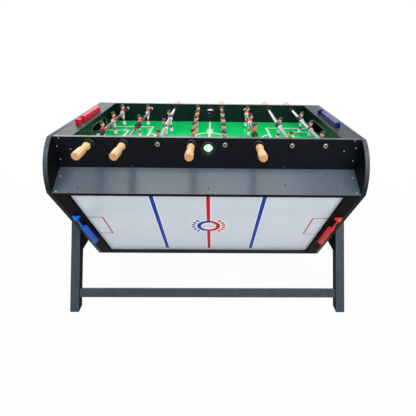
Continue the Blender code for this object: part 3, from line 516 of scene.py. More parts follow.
# Boards: what fills the names' braces, node, piece, body, slot, softened width, chooser
# and finishes. A row is made once for each of its fills.
leftRight = (("left",), ("right",))
frontRear = (("front",), ("rear",))
corners = [(side, end) for side in ("left", "right") for end in ("front", "rear")]
boardRows = (
    (frontRear, "foosball_{}_apron", "apron_{}", "cabinet", "black_board", 0.0006,
     chooseApron, ("blackLaminateAndPaintedShade", "rimSheenGrey", "apronWallGreenReflection")),
    (leftRight, "foosball_end_{}", "football_end_{}", "cabinet", "black_board", 0.0007,
     chooseFootballEnd, ("blackLaminateAndPaintedShade", "railSheenGrey", "wallGreenReflection", "goalDark")),
    (leftRight, "hockey_end_{}", "hockey_rail_{}", "cabinet", "black_board", 0.0007,
     None, ("undersideBlackAndPaintedShade",)),
    (leftRight, "end_panel_{}", "panel_{}", "cabinet", "grey_board", 0.0012,
     choosePanel, ("panelLaminate", "blackLaminateAndPaintedShade", "panelEdge")),
    ([()], "hockey_upper_board", "shelf_front", "cabinet", "black_board", 0.0008,
     chooseSheenSide, ("undersideBlackAndPaintedShade", "shelfSheenGrey")),
    ([()], "hockey_lower_board", "long_hockey_lower_board", "cabinet", "black_board",
     0.0008, chooseSheenSide, ("undersideBlackAndPaintedShade", "lipSheenGrey")),
    ((("lower",), ("upper",)), "billiard_{}_board", "long_billiard_{}_board", "cabinet",
     "black_board", 0.0008, chooseSheenSide, ("undersideBlackAndPaintedShade", "legGreyAndSheen")),
    ([()], "billiard_cushions", "cushion_frame", "cabinet", "billiard_cloth", 0.0006,
     chooseCushion, ("cloth", "blackLaminateAndPaintedShade")),
    ([()], "billiard_bed", "cloth_bed", "cabinet", "billiard_cloth", 0.0004, None,
     ("cloth",)),
    ([()], "foosball_field", "football_board", "cabinet", "football_green", 0.0003, None,
     ("fieldGreen",)),
    ([()], "hockey_field", "ice_board", "cabinet", "ice_white", 0.0003, None, ("ice",)),
    (corners, "leg_{}_{}", "leg_post_{}_{}", "stand", "grey_board", 0.0016, chooseLegShadedSide,
     ("legGreyAndSheen", "undersideBlackAndPaintedShade")),
    (leftRight, "crossbar_{}", "cross_beam_{}", "stand", "grey_board", 0.0016, chooseLegShadedSide,
     ("legGreyAndSheen", "undersideBlackAndPaintedShade")),
    (leftRight, "pivot_bracket_{}", "pivot_plate_{}", "stand", "black_metal", 0.0006,
     None, ("darkSteel",)),
    (leftRight, "lock_knob_{}", "clamp_knob_{}", "knob_{}", "black_plastic", 0.0012,
     None, ("blackPlastic",)),
    (frontRear, "stretcher_{}", "long_beam_{}", "stand", "grey_board", 0.0016, None,
     ("legGreyAndSheen",)),
)
for fills, node, piece, body, slotName, width, choose, finishes in boardRows:
    for words in fills:
        softenedCopy(node.format(*words), piece.format(*words), body.format(*words),
                     width, choose, finishes)
print("boards and stand")

# Paint: how far it goes into the board and its layers' heights over it. No two layers that
# cross lie in one plane.
paint = {"sink": 0.0004, "seam": 0.00015, "halo": 0.00019, "bow": 0.00020,
         "line": 0.00025, "cross": 0.00029, "band": 0.00033, "ring": 0.00041}


# A ribbon from a little inside the board up to its layer's height
def painted(path, width, layer, slot=0, closed=False):
    return ribbon(path, width, -paint["sink"], paint[layer], slot, closed)


football = {
    "line": 0.0092, "circle": 0.076, "halfWidth": 0.2905, "spot": 0.004,
    "spotWidth": 0.007, "boxes": ((0.104, 0.108), (0.218, 0.176)),
    "bowRadius": 0.062, "bowInside": 0.020, "bowTurn": 70,
}
lines = [
    painted(arc(0, 0, football["circle"], 0, 360, 72), football["line"], "line",
            closed=True),
    painted([(0, -football["halfWidth"]), (0, football["halfWidth"])], football["line"],
            "cross"),
    painted(arc(0, 0, football["spot"], 0, 360, 16), football["spotWidth"], "band",
            closed=True),
]
for side in (-1, 1):
    wall = side * cabinet["endWall"]
    for deep, half in football["boxes"]:
        front = side * (cabinet["endWall"] - deep)
        lines.append(painted([(wall, -half), (front, -half), (front, half), (wall, half)],
                             football["line"], "line"))
    # The bow stands on the front of the far box
    inward = 180 if side > 0 else 0
    lines.append(painted(arc(front + side * football["bowInside"], 0,
                             football["bowRadius"], inward - football["bowTurn"],
                             inward + football["bowTurn"], 28), football["line"], "bow"))
makePiece("football_lines",
          [shifted(part, 0, 0, fieldTop) for part in lines], ["lineWhite"], "cabinet",
          20)

hockey = {
    "sunk": 0.015, "halfLength": 0.5395, "top": 0.291, "bottom": -0.268, "middle": 0.005,
    "blueX": 0.2265, "blue": 0.0168, "red": 0.0158, "edge": 0.0265, "redStop": 0.040,
    "disc": 0.0400, "discWidth": 0.042, "ring": 0.0453, "ringWidth": 0.0185,
    "slotHalf": 0.027, "slotWidth": 0.030, "halo": 0.0722, "haloWidth": 0.030,
    "haloPast": 9, "markCount": 6, "markTurn": 46, "markStart": 0.0630,
    "markEnd": 0.0805, "markWidth": 0.0125, "creaseDeep": 0.068, "creaseHalf": 0.084,
    "creaseSide": 0.0042, "creaseFront": 0.0058, "creaseCorner": 0.0017,
    "creasePast": 0.0004, "seams": (-0.2825, 0.2760), "seamHalf": 0.53, "seam": 0.0012,
}
hockeyFinishes = {"iceWhite": 0, "lineBlue": 1, "lineRed": 2, "lineRose": 3, "iceShade": 4}
white, blue, red, rose, shade = hockeyFinishes.values()
middle = hockey["middle"]
marks = []
# Bands across the face on white edges. The middle one stops short of the ring.
for x, start, end, width, slot in (
        (-hockey["blueX"], hockey["bottom"], hockey["top"], hockey["blue"], blue),
        (hockey["blueX"], hockey["bottom"], hockey["top"], hockey["blue"], blue),
        (0, hockey["bottom"], middle - hockey["redStop"], hockey["red"], red),
        (0, middle + hockey["redStop"], hockey["top"], hockey["red"], red)):
    path = [(x, start), (x, end)]
    marks += [painted(path, hockey["edge"], "line", white),
              painted(path, width, "band", slot)]
# Ring: white disc edge under a band that is blue on its left and red on its right
marks.append(painted(arc(0, middle, hockey["disc"], 0, 360, 72), hockey["discWidth"],
                     "cross", white, True))
for start, end, slot in ((78, 252, blue), (-108, 78, red)):
    marks.append(painted(arc(0, middle, hockey["ring"], start, end, 48),
                         hockey["ringWidth"], "ring", slot))
marks.append(painted([(-hockey["slotHalf"], middle), (hockey["slotHalf"], middle)],
                     hockey["slotWidth"], "ring", shade))
# Plain marks on each side of the ring, on a white band
for facing, slot in ((180, blue), (0, red)):
    reach = hockey["markTurn"] + hockey["haloPast"]
    marks.append(painted(arc(0, middle, hockey["halo"], facing - reach, facing + reach,
                             24), hockey["haloWidth"], "halo", white))
    for lean in np.linspace(-hockey["markTurn"], hockey["markTurn"], hockey["markCount"]):
        direction = math.radians(facing + lean)
        ends = np.outer((hockey["markStart"], hockey["markEnd"]),
                        (math.cos(direction), math.sin(direction))) + (0, middle)
        marks.append(painted(ends, hockey["markWidth"], "band", slot))
for side in (-1, 1):
    wall = side * (hockey["halfLength"] + hockey["creasePast"])
    front = side * (hockey["halfLength"] - hockey["creaseDeep"])
    upper, lower = middle + hockey["creaseHalf"], middle - hockey["creaseHalf"]
    for y in (upper, lower):
        marks.append(painted([(wall, y), (front, y)], hockey["creaseSide"], "line", rose))
    marks.append(painted([(front, lower - hockey["creaseCorner"]),
                          (front, upper + hockey["creaseCorner"])],
                         hockey["creaseFront"], "band", rose))
for y in hockey["seams"]:
    marks.append(painted([(-hockey["seamHalf"], y), (hockey["seamHalf"], y)],
                         hockey["seam"], "seam", shade))
iceLevel = cabinet["apothem"] - hockey["sunk"]
makePiece("hockey_marks",
          [onFace(shifted(part, 0, 0, iceLevel), 1) for part in marks], hockeyFinishes,
          "cabinet", 20)
print("painted lines")

# Trim round each goal mouth, and a shadow line where each end rail meets its end panel
goal = {"half": 0.100, "top": 0.025, "corner": 0.020, "trim": 0.0022, "proud": 0.0012,
        "foot": 0.0005}
cornerY = goal["half"] - goal["corner"]
cornerZ = rimHeight - goal["top"] - goal["corner"]
trim = ribbon(np.concatenate([[(goal["half"], fieldTop + goal["foot"])],
                              arc(cornerY, cornerZ, goal["corner"], 0, 90, 4),
                              arc(-cornerY, cornerZ, goal["corner"], 90, 180, 4),
                              [(-goal["half"], fieldTop + goal["foot"])]]),
              goal["trim"], -goal["proud"], goal["proud"])
for side, sideName in ((-1, "left"), (1, "right")):
    makePiece(f"goal_trim_{sideName}", [mapped(trim, lambda y, z, out: (
        side * cabinet["endWall"] + out, y, z))], ["goalTrim"], "cabinet",
        20)

railJoint = {"x": 0.5916, "width": 0.0014, "sunk": 0.0006, "proud": 0.0001,
             "footballHalf": 0.3095, "hockeyLow": 0.285, "hockeyHigh": 0.300}
joints = []
for face, low, high in ((0, railJoint["footballHalf"], railJoint["footballHalf"]),
                        (1, railJoint["hockeyLow"], railJoint["hockeyHigh"])):
    for x in (-railJoint["x"], railJoint["x"]):
        joint = ribbon([(x, -low), (x, high)], railJoint["width"],
                       cabinet["apothem"] - railJoint["sunk"],
                       cabinet["apothem"] + railJoint["proud"])
        joints.append(onFace(joint, face))
makePiece("rail_joints", joints, ["goalDark"], "cabinet", 20)
print("goals")

# Rods, players and handles
rodSizes = {
    "spacing": 0.130, "depth": 0.0265, "tube": 0.0079, "bore": 0.0066,
    "handleEnd": -0.4377, "farEnd": 0.2707, "boreEnd": -0.0937, "innerTip": -0.0690,
    "chamfer": 0.0004, "boreChamfer": 0.0003, "bumper": 0.0125, "bumperHole": 0.0080,
    "bumperLength": 0.030, "thinBumper": 0.014, "bumperRound": 0.0012,
    "bumperTaper": 0.002, "groove": 0.0006, "grooveSpan": (0.46, 0.48, 0.5),
    "playerWidth": 0.024,
}
rodRows = (
    {"places": (-0.144, 0.021, 0.186), "front": True, "lean": 2.5},
    {"places": (-0.025, 0.189), "front": True, "lean": 6.0},
    {"places": (-0.075, 0.090, 0.255), "front": False, "lean": 5.5},
    {"places": (-0.242, -0.134, -0.026, 0.082, 0.190), "front": True, "lean": 6.0},
    {"places": (-0.175, -0.067, 0.041, 0.149, 0.257), "front": False, "lean": 5.0},
    {"places": (-0.144, 0.021, 0.186), "front": True, "lean": 6.0},
    {"places": (0.043, 0.257), "front": False, "lean": -2.5},
    {"places": (-0.074, 0.091, 0.256), "front": False, "lean": 0.0},
)
rodHeight = rimHeight - rodSizes["depth"]
playerSlots = {"chrome": 0, "rubber": 1, "skin": 2, "hair": 3, "shirt": 4, "white": 5,
               "sleeve": 6, "dark": 7}
hairShape = {"low": 0.0300, "top": 0.0425, "reach": 0.0135, "fringe": 0.0056,
             "halfX": 0.0098, "halfY": 0.0089, "back": 0.0006, "rows": 8, "columns": 20}


# Rows of millimetres
def inMetres(rows):
    return np.array(rows, float) * 0.001


# A player facing +X with the rod's axis at the origin. The rows are in millimetres.
def playerParts():
    skin, hair, shirt, white, sleeve, dark = (
        playerSlots[name] for name in ("skin", "hair", "shirt", "white", "sleeve", "dark"))
    parts = [
        stacked(inMetres([(-60.0, 2.0, 0, 6.8, 6.6), (-59.3, 2.2, 0, 7.9, 7.7),
                          (-53.0, 1.8, 0, 7.7, 7.8), (-47.0, 1.0, 0, 6.4, 7.4),
                          (-42.5, 0.4, 0, 5.2, 6.8), (-41.0, 0.2, 0, 4.8, 6.4)]),
                20, white, 0.7),
        stacked(inMetres([(-25.0, 0, 0, 5.2, 8.0), (-23.6, 0, 0, 6.4, 9.4),
                          (-18.0, 0, 0, 6.8, 9.8), (-10.0, 0, 0, 6.6, 9.4),
                          (-8.0, 0, 0, 6.2, 8.8)]), 20, white, 0.75),
        stacked(inMetres([(-9.4, 0.2, 0, 6.8, 9.0), (-6.0, 0.5, 0, 8.0, 9.6),
                          (0.0, 0.7, 0, 9.8, 10.2), (6.0, 0.7, 0, 10.6, 11.2),
                          (10.5, 0.5, 0, 9.8, 11.6), (14.0, 0.3, 0, 7.6, 10.0),
                          (16.2, 0.2, 0, 5.2, 6.6), (17.2, 0.0, 0, 3.8, 4.4)]),
                20, shirt, 0.8),
        stacked(inMetres([(15.5, 0, 0, 3.9, 4.1), (21.5, 0.2, 0, 3.7, 3.9)]), 12, skin),
        ellipsoid((0.0007, 0, 0.0290), (0.0083, 0.0076, 0.0110), 18, 13, skin),
        ellipsoid((0.0090, 0, 0.0270), (0.0014, 0.0012, 0.0022), 8, 7, skin),
    ]
    for side in (-1, 1):
        parts += [
            stacked(inMetres([(-42.0, 0, 3.9 * side, 3.9, 3.5),
                              (-36.0, 0, 4.0 * side, 4.5, 3.9),
                              (-31.5, 0, 4.0 * side, 4.4, 3.8)]), 12, shirt),
            stacked(inMetres([(-32.0, 0, 4.1 * side, 3.7, 3.3),
                              (-27.5, 0.3, 4.3 * side, 4.2, 3.7),
                              (-23.0, 0, 4.5 * side, 4.5, 4.2)]), 12, skin),
            ellipsoid((0.0002, 0.0077 * side, 0.0280), (0.0018, 0.0011, 0.0025), 8, 7,
                      skin),
            ellipsoid((0.0083, 0.0028 * side, 0.0297), (0.0008, 0.0009, 0.0007), 8, 7,
                      dark),
        ]
    # Sleeves: an arched band round the rod's hole on both sides of the chest
    arch = turned([(0.0092, -0.0128), (0.0112, -0.0119), (0.0118, -0.0094),
                   (0.0118, 0.0094), (0.0112, 0.0119), (0.0092, 0.0128)], 20, sleeve)
    parts.append(mapped(arch, lambda x, y, z: (0.86 * x - 0.0014, y, z - 0.0006)))
    # Hair: an ellipsoid cap whose rim rises over the brow and drops at the nape
    rise = np.linspace(0, 1, hairShape["rows"])[:, None]
    angle = circle(hairShape["columns"])
    brow = 0.5 + 0.5 * np.cos(angle)
    hairline = hairShape["low"] + hairShape["fringe"] * brow ** 1.5
    height = hairline + (hairShape["top"] - hairline) * rise
    swell = np.sqrt(np.clip(1 - ((height - hairShape["low"]) / hairShape["reach"]) ** 2,
                            0.02, 1))
    cap = np.stack([hairShape["halfX"] * swell * np.cos(angle) - hairShape["back"],
                    hairShape["halfY"] * swell * np.sin(angle), height], axis=-1)
    parts.append(surface(cap, hair))
    return parts


# A part placed along its rod, and turned half round where the row looks left
def placedOnRod(part, index, front, along=0.0):
    x = (index - (len(rodRows) - 1) / 2) * rodSizes["spacing"]
    flip = 1 if front else -1
    return dict(part, points=(part["points"] + (0, along, 0)) * (flip, flip, 1)
                + (x, 0, rodHeight))


# A player's part turned about the rod, head forward by the given degrees
def leaned(part, degrees):
    angle = math.radians(degrees)
    sine, cosine = math.sin(angle), math.cos(angle)
    return mapped(part, lambda x, y, z: (x * cosine + z * sine, y, z * cosine - x * sine))


# The tube, and the rubber bumper with its groove that ends inside the first player
def rodParts(places):
    tube, bore, farEnd = rodSizes["tube"], rodSizes["bore"], rodSizes["farEnd"]
    chamfer = rodSizes["chamfer"]
    thin = len(places) == 5
    length = rodSizes["thinBumper"] if thin else rodSizes["bumperLength"]
    start = places[0] - rodSizes["playerWidth"] / 2 - length
    end = places[0] - rodSizes["playerWidth"] / 4
    radius, hole = rodSizes["bumper"], rodSizes["bumperHole"]
    rounding, taper = rodSizes["bumperRound"], rodSizes["bumperTaper"]
    near, bottom, far = (start + length * share for share in rodSizes["grooveSpan"])
    return [
        turned([(bore, rodSizes["boreEnd"]), (bore, farEnd - chamfer),
                (bore + rodSizes["boreChamfer"], farEnd), (tube - chamfer, farEnd),
                (tube, farEnd - chamfer), (tube, rodSizes["handleEnd"])],
               24, playerSlots["chrome"]),
        turned([(hole, start), (radius - rounding, start), (radius, start + rounding),
                (radius, near), (radius - rodSizes["groove"], bottom), (radius, far),
                (radius, end - taper), (radius - taper, end), (hole, end)],
               24, playerSlots["rubber"]),
    ]


figure = playerParts()
for index, row in enumerate(rodRows):
    parts = [placedOnRod(part, index, row["front"]) for part in rodParts(row["places"])]
    for place in row["places"]:
        parts += [placedOnRod(leaned(part, row["lean"]), index, row["front"], place)
                  for part in figure]
    makePiece(f"players_{index + 1}", parts,
              ["chrome", "rubber", "skin", "hair",
               "shirtRed" if row["front"] else "shirtBlue", "kitWhite", "sleeveWhite",
               "recess"], f"players_{index + 1}", 45, [f"rod_{index + 1}"])
print("players")

gripShape = {"start": -0.334, "end": -0.450, "collar": 0.0150, "neck": 0.0108,
             "barrel": 0.0160, "bore": 0.0084, "boreMouth": 0.0090, "boreDepth": 0.012,
             "chamfer": 0.0004, "cornerTurn": 0.035}
collar, neck, barrel = gripShape["collar"], gripShape["neck"], gripShape["barrel"]
# Grip outline as shares of its length, with the radius there
gripOutline = (
    (0.00, neck), (0.012, collar - 0.0012), (0.03, collar), (0.13, collar),
    (0.155, collar - 0.0010), (0.19, neck + 0.0003), (0.23, neck), (0.30, neck + 0.0004),
    (0.46, barrel - 0.0012), (0.60, barrel), (0.95, barrel), (0.985, barrel - 0.0016),
    (1.00, neck + 0.0018),
)


# Octagon with its corners planed off: each flat runs to a few degrees short of the corner
# on both sides, where its distance is the apothem over the cosine of that angle
def octagonGrid(rows):
    flat = math.pi / 4
    reach = flat / 2 - gripShape["cornerTurn"]
    angle = (np.arange(8)[:, None] * flat + np.array([-reach, reach])).ravel()
    unit = math.cos(flat / 2) / math.cos(reach)
    return profileGrid([(radius * unit, place) for radius, place in rows], angle)


gripRows = [(gripShape["bore"], gripShape["end"] + gripShape["boreDepth"]),
            (gripShape["bore"], gripShape["start"] - gripShape["chamfer"]),
            (gripShape["boreMouth"], gripShape["start"])]
gripRows += [(radius, gripShape["start"] + share * (gripShape["end"] - gripShape["start"]))
             for share, radius in gripOutline]
gripGrid = octagonGrid(gripRows)
# The end ring and end lid take the darker pine as painted shade
grip = dict(surface(gripGrid), lidSlots=[0, 1], quadSlots=np.repeat(
    [0] * (len(gripRows) - 2) + [1], gripGrid.shape[1]))
for index, row in enumerate(rodRows):
    makePiece(f"grip_{index + 1}", [placedOnRod(grip, index, row["front"])],
              ["pine", "pineShadedEnd"], f"players_{index + 1}", 16,
              [f"handle_{index + 1}"])

# Inner bars with a domed cap outside the far wall and a nut inside it. The nut's pale
# green-white is a painted reflection of the field, and the dark middle of the cap's dish and
# a dark disc a little off it are painted shade
barProfile = [(0.0020, 0.3120), (0.0034, 0.3126), (0.0046, 0.3152), (0.0056, 0.3160),
              (0.0078, 0.3157), (0.0094, 0.3147), (0.0100, 0.3130), (0.0100, 0.3103),
              (0.0060, 0.3103), (0.0060, 0.2917), (0.0080, 0.2917), (0.0080, 0.2880),
              (0.0074, 0.2864), (0.0060, 0.2860), (0.0060, rodSizes["innerTip"])]
capRows, nutRows, barSides = 9, 4, 32
bar = dict(turned(barProfile, barSides), lidSlots=[1, 3],
           quadSlots=np.repeat([0] * capRows + [2] * nutRows + [3], barSides))
dishShade = shifted(turned([(0.0001, 0.3118), (0.0026, 0.3118), (0.0026, 0.3138),
                         (0.0001, 0.3138)], 12, 1), 0.0009, 0, -0.0008)
for index, row in enumerate(rodRows):
    makePiece(f"bar_{index + 1}",
              [placedOnRod(part, index, row["front"]) for part in (bar, dishShade)],
              ["nickel", "recess", "nutPaintedReflection", "chrome"], f"spindle_{index + 1}",
              40, [f"inner_rod_{index + 1}"])
print("handles and bars")

# Bearings: a flanged ring with a rounded lip outside the wall
bearing = {"in": -0.2859, "chamfer": 0.0012, "radius": 0.0203, "hole": 0.0081,
           "lip": ((0.0203, -0.3150), (0.0192, -0.3166), (0.0170, -0.3176),
                   (0.0158, -0.3166), (0.0128, -0.3170), (0.0118, -0.3182),
                   (0.0092, -0.3182), (0.0081, -0.3174))}
flange = turned([(bearing["hole"], bearing["in"]),
                 (bearing["radius"] - bearing["chamfer"], bearing["in"]),
                 (bearing["radius"], bearing["in"] - bearing["chamfer"]),
                 *bearing["lip"]], 40, 0, True)
makePiece("bearing_flanges",
          [placedOnRod(flange, index, row["front"]) for index, row in enumerate(rodRows)],
          ["blackPlastic"], "cabinet", 40)

# Ball entries: radius and distance from the middle round each ring, two ticks beside its
# mouth, a thin grey ring inside the wall that is a painted highlight on the ring's edge, and
# behind the rear one a dish for the ball, whose blue-grey is a painted reflection
entry = {
    "depth": 0.043,
    "ring": ((0.0188, 0.2885), (0.0262, 0.2885), (0.0283, 0.2897), (0.0283, 0.3118),
             (0.0270, 0.3132), (0.0238, 0.3133), (0.0206, 0.3124), (0.0192, 0.3108),
             (0.0188, 0.3090)),
    "dish": ((0.0185, 0.3105), (0.0210, 0.3105), (0.0215, 0.3230), (0.0205, 0.3300),
             (0.0170, 0.3330), (0.0002, 0.3338), (0.0002, 0.3322), (0.0160, 0.3314),
             (0.0186, 0.3290), (0.0192, 0.3230)),
    "tickFrom": 0.0195, "tickTo": 0.0315, "tick": 0.0011, "tickProud": 0.0012,
    "tickAt": 0.3126, "rim": 0.0218, "rimWidth": 0.0010, "rimProud": 0.0008,
    "rimAt": 0.2887, "dishTop": 0.0010,
}
entryHeight = rimHeight - entry["depth"]


# A flat shape stood up on the wall at the given Y, with its height along Y
def onWall(part, wallY, outward):
    return mapped(part, lambda x, z, out: (x, wallY + outward * out, z + entryHeight))


entryParts = []
for side in (-1, 1):
    ring = turned([(radius, side * y) for radius, y in entry["ring"]], 56, 0, True)
    entryParts.append(shifted(ring, 0, 0, entryHeight))
    for end in (-1, 1):
        tick = ribbon([(end * entry["tickFrom"], 0), (end * entry["tickTo"], 0)],
                      entry["tick"], 0, entry["tickProud"], 1)
        entryParts.append(onWall(tick, side * entry["tickAt"], side))
    rim = ribbon(arc(0, 0, entry["rim"], 0, 360, 40), entry["rimWidth"], 0,
                 entry["rimProud"], 1, closed=True)
    entryParts.append(onWall(rim, side * entry["rimAt"], -side))
entryParts.append(mapped(turned(entry["dish"], 48, 2, True), lambda x, y, z: (
    x, y, np.minimum(z, entry["dishTop"]) + entryHeight)))
makePiece("ball_entries", entryParts, ["blackPlastic", "tickGrey", "dishPaintedReflection"], "cabinet",
          40)
print("bearings and entries")

# Bead scorers: two end blocks, a bar between them and beads on the bar. The hockey face's
# are wider and lower, with a thicker bar and a shorter stack.
scorer = {"half": 0.130, "block": 0.012, "foot": 0.0003, "bevel": 0.0008, "beads": 10,
          "gap": 0.006, "groove": 0.0003, "beadEnd": 0.0010, "beadGap": 0.0002,
          "barInside": 0.001, "slack": 0.0003}
archScorer = {"width": 0.022, "height": 0.024, "corner": 0.0010, "square": 0.62,
              "bar": 0.003, "barHeight": 0.013, "stack": 0.188}
roofScorer = {"width": 0.034, "height": 0.0205, "side": 0.0030, "ridge": 0.009,
              "ridgeTop": 0.6, "ridgeDrop": 0.0010, "bar": 0.0042, "barHeight": 0.0105,
              "stack": 0.155}


# Arch: a rectangle with small lower corners and a half-round top, shrunk by the inset
def archRing(inset, steps=14):
    half = archScorer["width"] / 2 - inset
    spring = archScorer["height"] - archScorer["width"] / 2
    low, corner = scorer["foot"] + inset, archScorer["corner"]
    angle = np.linspace(0, math.pi, steps)
    crownX = squared(np.cos(angle), archScorer["square"])
    crownZ = squared(np.sin(angle), archScorer["square"])
    xs = np.concatenate([[-half + corner, half - corner, half], half * crownX, [-half]])
    zs = np.concatenate([[low, low, low + corner], spring + half * crownZ,
                         [low + corner]])
    return np.stack([xs, np.zeros(len(xs)), zs], axis=-1)


# Roof: low upright sides that lean in to a narrow flat ridge, shrunk by the inset
def roofRing(inset):
    half, ridge = roofScorer["width"] / 2 - inset, roofScorer["ridge"] / 2 - inset
    low, top = scorer["foot"] + inset, roofScorer["height"] - inset
    side = [(half, low), (half, low + roofScorer["side"]),
            (ridge, top - roofScorer["ridgeDrop"]), (ridge * roofScorer["ridgeTop"], top)]
    ring = side + [(-x, z) for x, z in reversed(side)]
    return np.array([(x, 0.0, z) for x, z in ring])


# Rings set along Y, each with its own inset, and flat ends in the second slot
def endedBlock(ring, places, insets):
    grid = np.stack([ring(inset) + np.array([0.0, place, 0.0])
                     for place, inset in zip(places, insets)])
    return dict(surface(grid), lidSlots=[1, 1])


scorerRows = (
    {"name": "foosball_left", "face": 0, "x": -0.553, "shift": -0.020, "toward": 1,
     "finishes": ("redPlastic", "redPlastic"), "slot": "red_plastic",
     "body": "football_score_left"},
    {"name": "foosball_right", "face": 0, "x": 0.553, "shift": -0.020, "toward": -1,
     "finishes": ("navyPlastic", "navyPlastic"), "slot": "blue_plastic",
     "body": "football_score_right", "groove": 0.0001},
    # The hockey scorers' end faces take the brighter plastic as painted light
    {"name": "hockey_left", "face": 1, "x": -0.570, "shift": 0.0, "toward": -1,
     "finishes": ("bluePlastic", "blueLitEnd"), "slot": "blue_plastic",
     "body": "hockey_score_left"},
    {"name": "hockey_right", "face": 1, "x": 0.570, "shift": 0.0, "toward": -1,
     "finishes": ("redPlastic", "redLitEnd"), "slot": "red_plastic",
     "body": "hockey_score_right"},
)
for row in scorerRows:
    # From the scorer's own origin to its place on the face
    def onItsFace(part):
        return onFace(mapped(part, lambda x, y, z: (
            x + row["x"], y * row["toward"] + row["shift"],
            z + cabinet["apothem"])), row["face"])

    form, ring = (roofScorer, roofRing) if row["face"] else (archScorer, archRing)
    half, bevel = scorer["half"], scorer["bevel"]
    inner = half - scorer["block"]
    barEnd = inner + scorer["barInside"]
    frameParts = [endedBlock(ring, [side * half, side * (half - bevel),
                                    side * (inner + bevel), side * inner],
                             [bevel, 0, 0, bevel]) for side in (-1, 1)]
    thinBar = turned([(form["bar"], -barEnd), (form["bar"], barEnd)], 16)
    frameParts.append(shifted(thinBar, 0, 0, form["barHeight"]))
    makePiece(f"score_bar_{row['name']}", [onItsFace(part) for part in frameParts],
              row["finishes"], "cabinet", 40, [f"scorer_{row['name']}"])
    start = inner - scorer["slack"] - form["stack"]
    pitch = (form["stack"] - scorer["gap"]) / scorer["beads"]
    groove = row.get("groove", scorer["groove"])
    beads = []
    for number in range(scorer["beads"]):
        # A gap after the first bead shows the bar
        near = start + number * pitch + (scorer["gap"] if number else 0)
        beads.append(endedBlock(ring, [near, near + bevel,
                                       near + pitch - scorer["beadEnd"],
                                       near + pitch - scorer["beadGap"]],
                                [groove, 0, 0, groove]))
    makePiece(f"bead_stack_{row['name']}", [onItsFace(part) for part in beads],
              row["finishes"], row["body"], 40, [f"beads_{row['name']}"])
print("scorers")


# Screw head about the Y axis: a shallow dome with a socket. The profile gives shares of
# the radius and places along Y.
def screw(radius, slot=0):
    profile = ((1, 0.0008), (1, -0.0004), (0.82, -0.0010), (0.5, -0.0013),
               (0.34, -0.0013), (0.30, -0.0007))
    return turned([(radius * share, place) for share, place in profile], 16, slot)


# The shelf is the hockey face's upper side, so a screw's axis turns to it
def onShelf(head, along, depth):
    return onFace(mapped(head, lambda x, y, z: (
        x + along, cabinet["halfFace"] - y, z + cabinet["apothem"] - depth)), 1)


# On the front apron a screw keeps its axis along Y
def onApron(head, along, depth):
    return shifted(head, along, -cabinet["halfFace"], rimHeight - depth)


# Screws: where they stand, slot, radius, and each one's x and distance from the front edge
screwRows = (
    (onApron, 0, 0.0028, ((-0.567, 0.007), (-0.582, 0.039), (-0.532, 0.050),
                          (-0.581, 0.091), (0.565, 0.005), (0.577, 0.035),
                          (0.533, 0.047), (0.577, 0.087))),
    (onApron, 2, 0.0034, ((-0.304, 0.118), (0.304, 0.117))),
    (onShelf, 0, 0.0033, ((-0.578, 0.079), (-0.578, 0.008), (0.578, 0.082),
                          (0.578, 0.011))),
    (onShelf, 1, 0.0028, ((-0.500, 0.024), (-0.304, 0.047), (0.002, 0.025),
                          (0.303, 0.047), (0.500, 0.028))),
)
makePiece("cabinet_screws",
          [stand(screw(radius, slot), x, depth)
           for stand, slot, radius, places in screwRows for x, depth in places],
          ["screwSteel", "recess", "tickGrey"], "cabinet", 40)

bolt = {"radius": 0.0045, "x": 0.6525, "y": 0.140, "z": 0.290}
bolts = [mapped(screw(bolt["radius"]), lambda x, y, z: (
    side * (bolt["x"] + y), x + end * bolt["y"], z + bolt["z"]))
    for side in (-1, 1) for end in (-1, 1)]
makePiece("stand_bolts", bolts, ["nickel"], "stand", 40)
print("screws")

# Billiard pocket rings, each with its profile of radius and height over the cloth frame
pocket = {
    "places": ((0, -0.266), (0, 0.266), (-0.524, -0.264), (0.524, -0.264),
               (-0.524, 0.264), (0.524, 0.264)),
    "ring": ((0.0196, 0.0020), (0.0230, 0.0020), (0.0238, 0.0010), (0.0238, -0.0010),
             (0.0219, -0.0010), (0.0219, -0.0340), (0.0196, -0.0340)),
}
pocketRing = mapped(turned(pocket["ring"], 36, 0, True),
                    lambda x, out, across: (x, across, out))
pocketRings = [onFace(shifted(pocketRing, x, y, cabinet["apothem"]), 2)
               for x, y in pocket["places"]]
makePiece("pocket_liners", pocketRings, ["blackPlastic"], "cabinet", 40)
print("pocket rings")


# Floor, light and camera
def stagePlane(name, size, material):
    mesh = bpy.data.meshes.new(name)
    square = [(-size, -size, 0), (size, -size, 0), (size, size, 0), (-size, size, 0)]
    mesh.from_pydata(square, [], [(0, 1, 2, 3)])
    mesh.materials.append(material)
    plane = bpy.data.objects.new(name, mesh)
    bpy.context.scene.collection.objects.link(plane)


# One where the ray comes from the camera, a glossy surface or glass, and nought elsewhere
def seenDirectly(tree):
    rays = addNode(tree, "LightPath", {}).outputs
    either = addNode(tree, "Math", {
        0: rays["Is Camera Ray"], 1: rays["Is Glossy Ray"]}, operation="MAXIMUM")
    each = addNode(tree, "Math", {
        0: either.outputs["Value"], 1: rays["Is Transmission Ray"]}, operation="MAXIMUM")
    return each.outputs["Value"]


